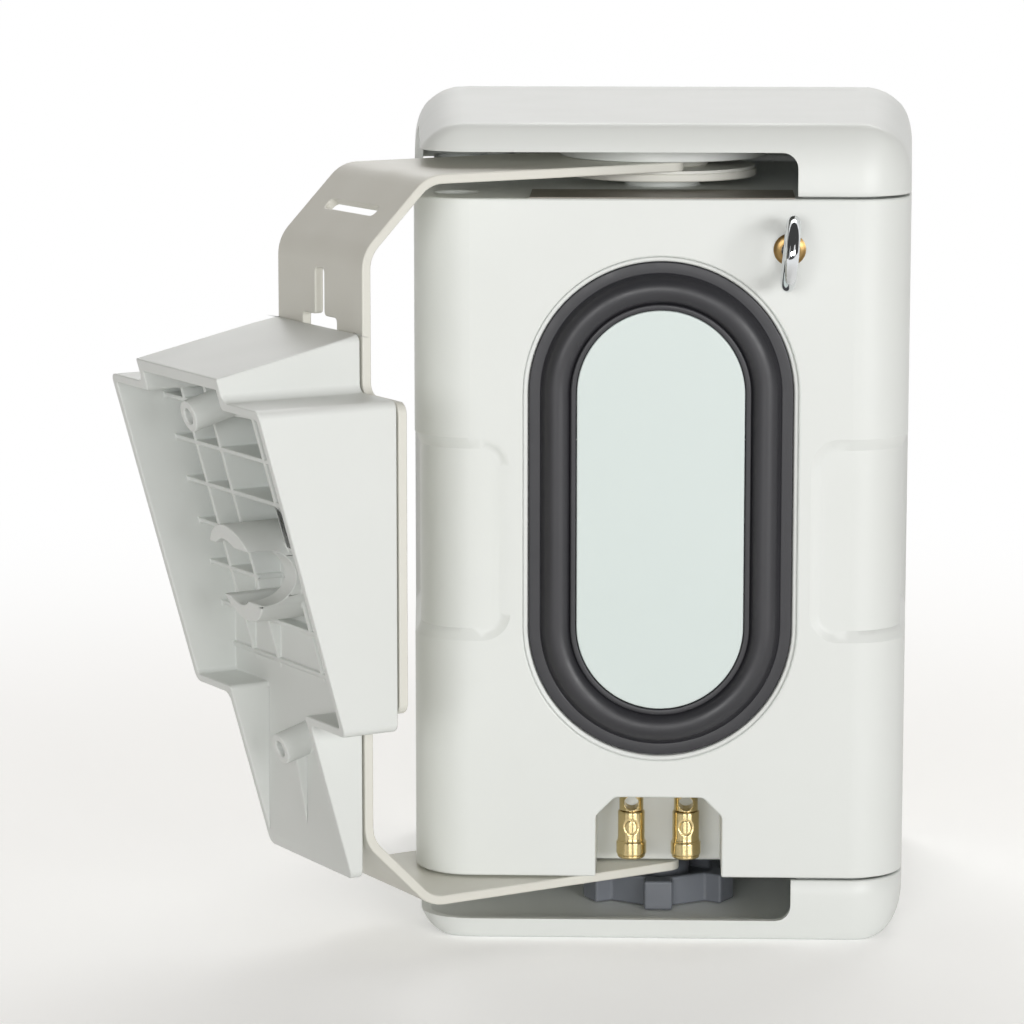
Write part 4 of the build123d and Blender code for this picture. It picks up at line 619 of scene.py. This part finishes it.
def cap_shell(cap):
    """A hollow cap with a barrel roof, a round rear face and a recess in two of its walls.

    The skin is carried along the plan. At a distance d inside an edge it falls below the
    closed level by a quarter round of the side radius across X, or by the rear round
    h - t - sqrt((R - t)^2 - (R - t - d / w)^2), whichever is greater, with R the radius, h
    the height and t the inset of the round, and w the cosine between the edge's normal and
    the rear. The two are blended within CAP_BLEND at the roof and more widely toward the
    corners, and a quarter round of CAP_EDGE softens the crest. Each line of the skin starts
    at the inward distance where it clears the rim, which is the open level, or the recess
    level where the recess is. The inner skin repeats this one wall further in.
    """
    path, inward, is_open = plan_path()
    sign = 1.0 if cap["closed"] > cap["open"] else -1.0
    along = np.concatenate([[0], np.cumsum(np.linalg.norm(np.diff(path, axis=0), axis=1))])
    first = along[is_open][0]
    last = along[is_open][-1]
    to_end = np.minimum(along - first, last - along)
    rearward = np.clip(-inward[:, 1], LEAST_REARWARD, 1)
    eased = cap["recess"] - sign * quarter_drop(RECESS_ROUND, to_end)
    rim = np.where(is_open, eased, cap["open"])

    def lifted(depth, inset):
        place = path[:, None, :] + (depth[..., None] + inset) * inward[:, None, :]
        x, y = np.abs(place[..., 0]), place[..., 1]
        share = (REAR_Y - y) / (REAR_Y - FRONT_Y)
        half = REAR_HALF + (FRONT_HALF - REAR_HALF) * share - inset
        fall = quarter_drop(cap["side"] - inset, half - x)
        radius = CAP_REAR_ROUND - inset
        behind = np.clip(radius - depth / rearward[:, None], 0, radius)
        rear = cap["rear"] - inset - np.sqrt(radius ** 2 - behind ** 2)
        fall = greater_softly(fall, rear, CAP_BLEND + np.clip(fall, 0, CAP_CORNER_BLEND))
        fall = fall + quarter_drop(CAP_EDGE, depth)
        return place, cap["closed"] + cap["rise"] * share - sign * (inset + fall)

    def skin(inset, lip):
        reach = CAP_REACH - inset
        fine = np.repeat(np.linspace(0, reach, SKIN_SEARCH_POINTS)[None], len(path), 0)
        clear = sign * (lifted(fine, inset)[1] - rim[:, None]) >= 0
        start = fine[0][np.argmax(clear, axis=1)][:, None]
        bend = np.linspace(0, np.pi / 2, SKIN_BEND_POINTS)
        step = np.concatenate([SKIN_BEND_SHARE * (1 - np.cos(bend)),
                               np.linspace(SKIN_ROOF_SHARE, 1.0, SKIN_ROOF_POINTS)])
        place, height = lifted(start + (reach - start) * step, inset)
        wall = np.minimum(LIP_ROUND, np.abs(height[:, 0] - rim) / 2)
        rows = [np.concatenate([place[:, 0] + lip * inward, rim[:, None]], 1),
                np.concatenate([place[:, 0], (rim + sign * wall)[:, None]], 1)]
        rows += [np.concatenate([place[:, k], height[:, k, None]], 1) for k in range(len(step))]
        return np.stack(rows)

    rows = np.concatenate([skin(CAP_WALL, -LIP_ROUND)[::-1], skin(0.0, LIP_ROUND)])
    count = rows.shape[1]
    faces = list(grid_quads(len(rows), count, False, True))
    faces.append(np.arange(count))
    faces.append(np.arange(count)[::-1] + (len(rows) - 1) * count)
    return rows.reshape(-1, 3), faces


def rounded_post(radius, low, high, x, y, edge=0.6):
    """A plain turned post with rounded rims at both ends."""
    profile = np.concatenate([
        [[0.0, low]], arc((radius - edge, low + edge), edge, -90, 0, 5),
        arc((radius - edge, high - edge), edge, 0, 90, 5), [[0.0, high]]])
    return lathe(profile, x, y)


for cap_name, cap_sizes, discs in (("top_cap", TOP_CAP, [rounded_post(**CAP_DISC, x=0, y=0)]),
                                   ("bottom_cap", BOTTOM_CAP, [])):
    bosses = [rounded_post(CAP_BOSS_RADIUS, *cap_sizes["bosses"], boss_x, boss_y)
              for boss_x, boss_y in CAP_BOSS_PLACES]
    make_piece(f"{cap_name}_moulded", [cap_shell(cap_sizes), *discs, *bosses], moulded_abs,
               "cabinet", [cap_name], crease=50)


def spine_loop(arc_steps=48, side_steps=6):
    """Spine points and outward directions of the radiator's round-ended loop, seen from behind.

    Along each straight side the spine point moves and the direction stays; round each end
    the spine point stays and the direction turns through half a turn.
    """
    turn = np.linspace(0, np.pi, arc_steps)
    rise = np.linspace(-SPINE_HALF, SPINE_HALF, side_steps + 2)[1:-1]
    spine = np.concatenate([np.full(arc_steps, SPINE_HALF), rise[::-1],
                            np.full(arc_steps, -SPINE_HALF), rise])
    angle = np.concatenate([turn, np.full(side_steps, np.pi), turn + np.pi,
                            np.full(side_steps, 2 * np.pi)])
    return spine, np.stack([np.cos(angle), np.sin(angle)], -1)


def round_the_loop(profile, closed=True):
    """A profile of (offset, depth) points carried round the radiator's loop."""
    profile = np.asarray(profile, float)
    spine, direction = spine_loop()
    x = profile[:, 0][:, None] * direction[:, 0]
    z = SPINE_Z + spine + profile[:, 0][:, None] * direction[:, 1]
    y = np.repeat(profile[:, 1][:, None], len(spine), 1)
    points = np.stack([x, y, z], -1)
    return points.reshape(-1, 3), grid_quads(len(profile), len(spine), closed, True)


def surround_profile():
    """Section of the rubber: flat flange, deep crease, half-round roll, crease and inner lip."""
    roll = arc((ROLL_OFFSET, ROLL_Y), ROLL_RADIUS, 24, 156, 25)
    roll[:, 1] = ROLL_Y + (roll[:, 1] - ROLL_Y) * ROLL_SQUASH
    flange_rim = arc((44.8, 56.3), 0.4, 30, 90, 3)
    outer_crease = arc((41.6, 56.2), 0.5, 70, 160, 4)
    inner_crease = arc((30.3, 57.9), 0.6, 20, 90, 4)
    lip = arc((29.25, 58.2), 0.3, 90, 180, 3)
    return np.concatenate([
        [[FLANGE_EDGE, SEAT_Y], [FLANGE_EDGE, 56.3]], flange_rim, [[42.0, FLANGE_FACE]],
        outer_crease, roll, inner_crease, lip, [[28.95, 56.9], [29.4, SEAT_Y]]])


make_piece("radiator_surround_roll", [round_the_loop(surround_profile())], nitrile_rubber,
           "cabinet", ["radiator_surround"], crease=55)
piston_profile = np.concatenate([
    [[0.0, PISTON_FACE], [PISTON_FLAT[0], PISTON_FACE], [PISTON_FLAT[1], PISTON_FACE]],
    arc((PISTON_EDGE - PISTON_ROUND, PISTON_FACE - PISTON_ROUND), PISTON_ROUND, 90, 0, 5),
    [[PISTON_EDGE, PISTON_BACK], [0.0, PISTON_BACK]]])
make_piece("radiator_piston_plate", [round_the_loop(piston_profile, False)], piston_plate,
           "radiator", ["radiator_piston"], crease=50)


def nut_shell(x):
    """A binding nut: a turned outline with a ring mark pressed into its barrel.

    Point (r, z) of the outline is turned about the post. On the outside, r loses MARK_DEPTH
    in a narrow bell curve round a circle of MARK_RADIUS on the rear of the barrel.
    """
    heights = np.concatenate([
        [NUT_BOTTOM, 27.5, 27.9, 28.3, 28.5, 28.7, 29.0], np.linspace(29.4, 32.6, 6),
        [32.9, 33.1, NUT_RING_TOP, 33.5, 33.8], np.linspace(34.2, 43.6, 48),
        [43.8, 44.0, NUT_TOP]])
    radii = np.interp(heights, *np.transpose(NUT_OUTSIDE))
    outline = np.concatenate([np.stack([radii, heights], -1),
                              [[NUT_BORE, NUT_TOP], [NUT_BORE, NUT_BOTTOM]]])
    points, faces = lathe(outline, x, POST_Y, NUT_TURNS)
    points = points.reshape(len(outline), NUT_TURNS, 3)
    angle = np.linspace(0, 2 * np.pi, NUT_TURNS, endpoint=False)
    outer = np.arange(len(outline)) < len(heights)
    width = NUT_BARREL * (angle - np.pi / 2)
    ring = np.hypot(width[None, :], outline[:, 1][:, None] - MARK_Z)
    press = MARK_DEPTH * np.exp(-((ring - MARK_RADIUS) / MARK_WIDTH) ** 2) * outer[:, None]
    points[..., 0] -= press * np.cos(angle)
    points[..., 1] -= press * np.sin(angle)
    return points.reshape(-1, 3), faces


for side, post_x in POST_PLACES.items():
    make_piece(f"terminal_nut_turned_{side}", [nut_shell(post_x)], gold_plate,
               f"terminal_nut_{side}", [f"terminal_nut_{side}"], crease=32)
    softened(f"terminal_post_turned_{side}", f"terminal_post_{side}", gold_plate, "cabinet",
             edge_mm=0.18)


def eye_shells():
    """The eye: a closed wire ring and a shank that flares into it.

    The ring point at angles (a, b) is the centre plus (R + r cos b) out at angle a in a
    near upright plane, plus r sin b across it. The shank is turned about a line along Y,
    its radius growing a little where it meets the ring.
    """
    a = np.linspace(0, 2 * np.pi, EYE_STEPS, endpoint=False)[:, None]
    b = np.linspace(0, 2 * np.pi, WIRE_STEPS, endpoint=False)[None, :]
    out = EYE_RING + EYE_WIRE * np.cos(b)
    local = np.stack([EYE_WIRE * np.sin(b) + 0 * a, out * np.cos(a), out * np.sin(a)], -1)
    tilt = math.radians(EYE_TILT)
    ring = np.stack([local[..., 0] * math.cos(tilt) - local[..., 2] * math.sin(tilt),
                     local[..., 1],
                     local[..., 0] * math.sin(tilt) + local[..., 2] * math.cos(tilt)], -1)
    ring = ring.reshape(-1, 3) + EYE_CENTRE
    shank = turned_along_y(SHANK_OUTLINE, EYE_CENTRE[0], EYE_CENTRE[2])
    return [(ring, grid_quads(EYE_STEPS, WIRE_STEPS, True, True)), shank]


def insert_shell():
    """The brass insert: a plain barrel under a flange whose face is a shallow dome.

    The face falls from its inner rim by INSERT_FALL times the square of the share of the
    way to its outer rim.
    """
    share = np.linspace(1, 0, 9)
    dome = np.stack([INSERT_BORE + (INSERT_FLANGE - INSERT_BORE) * share,
                     REAR_Y + INSERT_RISE - INSERT_FALL * share ** 2], -1)
    barrel = [[INSERT_BORE, INSERT_BACK], [INSERT_BARREL, INSERT_BACK], [INSERT_BARREL, REAR_Y],
              [INSERT_FLANGE, REAR_Y]]
    return turned_along_y(np.concatenate([barrel, dome]), EYE_CENTRE[0], EYE_CENTRE[2])


make_piece("eye_bolt_forged", eye_shells(), chrome_plate, "cabinet",
           ["eye_bolt"], crease=60)
make_piece("eye_insert_turned", [insert_shell()], turned_brass, "cabinet",
           ["eye_insert"], crease=40)
softened("cabinet_moulded", "cabinet_shell", moulded_abs, "cabinet",
         edge_mm=0.7, steps=3, crease=20.0, plain=in_a_grip)
softened("pivot_plate_pressed", "pivot_plate", powder_coat, "cabinet",
         edge_mm=0.6, steps=3)
softened("bracket_strap_formed", "bracket_strap", powder_coat, "bracket",
         edge_mm=0.45)
softened("wall_mount_moulded", "wall_mount", moulded_abs, "bracket",
         edge_mm=0.45)
softened("clamp_knob_moulded", "clamp_knob", filled_nylon, "clamp_knob",
         edge_mm=0.8, steps=3)


# The woofer's rubber: its roll stays on the baffle and its glued rim moves with the cone
woofer_roll = np.concatenate([
    arc((WOOFER_ROLL, BAFFLE_Y), WOOFER_ROLL_OUTER, -180, 0, 24),
    arc((WOOFER_ROLL, BAFFLE_Y), WOOFER_ROLL_INNER, 0, -180, 24)])
woofer_rim = [
    [WOOFER_RIM_INNER, BAFFLE_Y + WOOFER_RIM_GAP], [WOOFER_RIM_OUTER, BAFFLE_Y + WOOFER_RIM_GAP],
    [WOOFER_RIM_OUTER, CONE_MOUTH_Y], [WOOFER_RIM_INNER, CONE_MOUTH_Y]]
# The tweeter's rubber: a stepped ring that leaves room for the dome to move
tweeter_ring = [
    [TWEETER_RING_INNER, TWEETER_RING_FRONT], [TWEETER_RING_OUTER, TWEETER_RING_FRONT],
    [TWEETER_RING_OUTER, TWEETER_RING_BACK], [TWEETER_RING_FOOT, TWEETER_RING_BACK],
    [TWEETER_RING_FOOT, TWEETER_RING_STEP], [TWEETER_RING_INNER, TWEETER_RING_STEP]]
make_piece("woofer_surround_roll", [turned_along_y(woofer_roll, 0, WOOFER_Z, WOOFER_TURNS)],
           nitrile_rubber, "cabinet", ["woofer_surround"])
make_piece("woofer_surround_rim", [turned_along_y(woofer_rim, 0, WOOFER_Z, WOOFER_TURNS)],
           nitrile_rubber, "woofer", ["woofer_surround"])
make_piece("tweeter_surround_ring", [turned_along_y(tweeter_ring, 0, TWEETER_Z, TWEETER_TURNS)],
           nitrile_rubber, "cabinet", ["tweeter_surround"])


def perforated_sheet():
    """The grille's punched sheet: hexagon cells, each with a round hole through it.

    Cell centres lie on a triangular lattice. Each cell joins HOLE_SIDES points of its hexagon
    to as many points of its hole, and the hole's wall runs through the sheet.
    """
    low = np.array([-FRONT_HALF + GRILLE_BORDER, GRILLE_BOTTOM + GRILLE_BORDER])
    high = np.array([FRONT_HALF - GRILLE_BORDER, GRILLE_TOP - GRILLE_BORDER])
    row_step = HOLE_PITCH * math.sqrt(3) / 2
    rows = np.arange(int((high[1] - low[1]) / row_step) + 2)
    cols = np.arange(int((high[0] - low[0]) / HOLE_PITCH) + 2)
    column, row = np.meshgrid(cols, rows)
    x = low[0] + (column + 0.5 * (row % 2) - 0.5) * HOLE_PITCH
    z = low[1] + row * row_step
    centres = np.stack([x.ravel(), z.ravel()], -1)
    turn = np.radians(np.arange(HOLE_SIDES) * (360.0 / HOLE_SIDES))
    hexagon = HOLE_PITCH / 2 / np.cos((turn + np.pi / 6) % (np.pi / 3) - np.pi / 6)
    ring = np.stack([np.cos(turn), np.sin(turn)], -1)
    outline = np.stack([ring * hexagon[:, None], ring * HOLE_RADIUS, ring * HOLE_RADIUS])
    front = FRONT_Y + SHEET_SETBACK
    depth = np.array([front, front, front + GRILLE_SHEET])
    points = np.empty((len(centres), 3, HOLE_SIDES, 3))
    points[..., 0] = centres[:, None, None, 0] + outline[None, ..., 0]
    points[..., 2] = centres[:, None, None, 1] + outline[None, ..., 1]
    points[..., 1] = depth[None, :, None]
    cell = grid_quads(3, HOLE_SIDES, False, True)
    faces = cell[None] + 3 * HOLE_SIDES * np.arange(len(centres))[:, None, None]
    return points.reshape(-1, 3), faces.reshape(-1, 4)


def grille_frame():
    """The folded rim of the grille: a profile carried round a rounded rectangle.

    The profile runs from the back of the skirt forward, over a rounded fold, across the
    border and back inside the sheet. At an inset p the rectangle's corners have the radius
    GRILLE_CORNER - p, and at least GRILLE_LEAST_CORNER.
    """
    half = np.array([FRONT_HALF, (GRILLE_TOP - GRILLE_BOTTOM) / 2])
    middle = (GRILLE_TOP + GRILLE_BOTTOM) / 2
    turn = np.linspace(0, np.pi / 2, GRILLE_CORNER_POINTS)
    quarter = np.stack([np.cos(turn), np.sin(turn)], -1)
    core, direction = [], []
    for sx, sz, flip in ((1, 1, 1), (-1, 1, -1), (-1, -1, 1), (1, -1, -1)):
        direction.append(quarter[::flip] * (sx, sz))
        core.append(np.repeat([(sx, sz)], GRILLE_CORNER_POINTS, 0))
    core = np.concatenate(core)
    direction = np.concatenate(direction)
    border = GRILLE_BORDER + 1.0
    sheet_back = FRONT_Y + GRILLE_SHEET + 0.4
    skirt = GRILLE_SHEET + 0.3
    profile = np.concatenate([
        [[0.3, GRILLE_BACK], [0.15, FRONT_Y + GRILLE_FOLD + 1.5]],
        arc((GRILLE_FOLD, FRONT_Y + GRILLE_FOLD), GRILLE_FOLD, 180, 270, 7),
        [[GRILLE_BORDER + 0.6, FRONT_Y], [border, FRONT_Y + 0.4], [border, sheet_back],
         [GRILLE_FOLD + 0.5, sheet_back], [skirt, FRONT_Y + 3.5], [skirt, GRILLE_BACK]]])
    inset = profile[:, 0][:, None]
    radius = np.maximum(GRILLE_CORNER - inset, GRILLE_LEAST_CORNER)
    x = (half[0] - inset - radius) * core[None, :, 0] + radius * direction[None, :, 0]
    z = (half[1] - inset - radius) * core[None, :, 1] + radius * direction[None, :, 1] + middle
    y = np.repeat(profile[:, 1][:, None], len(core), 1)
    return np.stack([x, y, z], -1).reshape(-1, 3), grid_quads(len(profile), len(core), True, True)


make_piece("grille_frame_folded", [grille_frame()], powder_coat, "cabinet",
           ["front_grille"], crease=40)
make_piece("grille_sheet_punched", [perforated_sheet()], powder_coat, "cabinet",
           ["front_grille"], crease=30)


def place_camera():
    """The photograph's eye point: behind the rear panel, a little above the top cap."""
    lens = bpy.data.cameras.new("camera")
    lens.sensor_width = CAMERA_SENSOR
    lens.lens = CAMERA_LENS
    bpy.context.scene.camera = add_object("camera", lens, CAMERA_PLACE, CAMERA_AIM)


def add_softbox(name, place, width, height, power, mirrored):
    """An area lamp that points at the studio's centre, and may be kept out of mirrors."""
    lamp = bpy.data.lights.new(name, "AREA")
    lamp.shape = "RECTANGLE"
    lamp.size = width
    lamp.size_y = height
    lamp.energy = power
    softbox = add_object(name, lamp, place, Vector(STUDIO_CENTRE) - Vector(place))
    softbox.visible_glossy = mirrored


def shows_backdrop(tree):
    """1 for the rays that show the backdrop, to the eye or in a reflection, and 0 for light."""
    path = add_node(tree, "ShaderNodeLightPath", {})
    mirrored = add_node(tree, "ShaderNodeMath", {
        0: path.outputs["Is Glossy Ray"], 1: path.outputs["Is Transmission Ray"]},
        operation="MAXIMUM")
    shown = add_node(tree, "ShaderNodeMath", {
        0: path.outputs["Is Camera Ray"], 1: mirrored.outputs["Value"]}, operation="MAXIMUM")
    return shown.outputs["Value"]


def studio_paper():
    """White paper that keeps the object's shadow near it and fades to plain white further out.

    Rays from the camera see the lit paper plus a little glow, which takes over with the
    distance from the object.
    """
    material, tree, output, place = new_material("studio_paper_white")
    reach = add_node(tree, "ShaderNodeVectorMath", {0: place}, operation="LENGTH")
    far = add_node(tree, "ShaderNodeMapRange", {
        "Value": reach.outputs["Value"], "From Min": PAPER_NEAR, "From Max": PAPER_FAR},
        interpolation_type="SMOOTHSTEP")
    paper = add_node(tree, "ShaderNodeBsdfDiffuse", {"Color": hex_linear("#F4F4F3")})
    lift = add_node(tree, "ShaderNodeEmission", {"Strength": PAPER_GLOW})
    near = add_node(tree, "ShaderNodeAddShader", {
        0: paper.outputs["BSDF"], 1: lift.outputs["Emission"]})
    white = add_node(tree, "ShaderNodeEmission", {"Strength": 1.0})
    seen = add_node(tree, "ShaderNodeMixShader", {
        0: far.outputs["Result"], 1: near.outputs["Shader"], 2: white.outputs["Emission"]})
    shown = add_node(tree, "ShaderNodeMixShader", {
        0: shows_backdrop(tree), 1: paper.outputs["BSDF"], 2: seen.outputs["Shader"]})
    tree.links.new(shown.outputs["Shader"], output.inputs["Surface"])
    return material


def studio_card():
    """The even dark tone of the cards."""
    material, tree, output, _ = new_material("studio_card_dark")
    dark = add_node(tree, "ShaderNodeEmission", {"Color": hex_linear("#484848")})
    tree.links.new(dark.outputs["Emission"], output.inputs["Surface"])
    return material


def flat_mesh(name, half_x, half_y):
    """One flat rectangle about the origin."""
    mesh = bpy.data.meshes.new(name)
    mesh.from_pydata([(-half_x, -half_y, 0), (half_x, -half_y, 0), (half_x, half_y, 0),
                      (-half_x, half_y, 0)], [], [(0, 1, 2, 3)])
    return mesh


def add_dark_card(name, place, target, width, height, material):
    """A dark card that only mirrors can see, to give polished metal its dark side."""
    mesh = flat_mesh(name, width / 2, height / 2)
    mesh.materials.append(material)
    card = add_object(name, mesh, place, Vector(target) - Vector(place))
    card.visible_camera = False
    card.visible_diffuse = False
    card.visible_shadow = False


def light_the_studio():
    """Soft studio light, a white floor and surround, and dark cards for the mirrors."""
    world = bpy.data.worlds.new("studio")
    bpy.context.scene.world = world
    world.use_nodes = True
    tree = world.node_tree
    tree.nodes.clear()
    shown = shows_backdrop(tree)
    strength = add_node(tree, "ShaderNodeMapRange", {
        "Value": shown, "To Min": AIR_LIGHT, "To Max": 1.0})
    air = add_node(tree, "ShaderNodeBackground", {
        "Color": tint_between(tree, shown, "#FFF7EC", "#FFFFFF"),
        "Strength": strength.outputs["Result"]})
    output = tree.nodes.new("ShaderNodeOutputWorld")
    tree.links.new(air.outputs["Background"], output.inputs["Surface"])

    floor = add_object("floor", flat_mesh("floor", FLOOR_REACH, FLOOR_REACH))
    floor.data.materials.append(studio_paper())
    for softbox in SOFTBOXES:
        add_softbox(*softbox)
    dark = studio_card()
    for card in DARK_CARDS:
        add_dark_card(*card, dark)


place_camera()
light_the_studio()
bpy.context.scene.view_settings.view_transform = "Standard"
bpy.context.scene.cycles.diffuse_bounces = 8
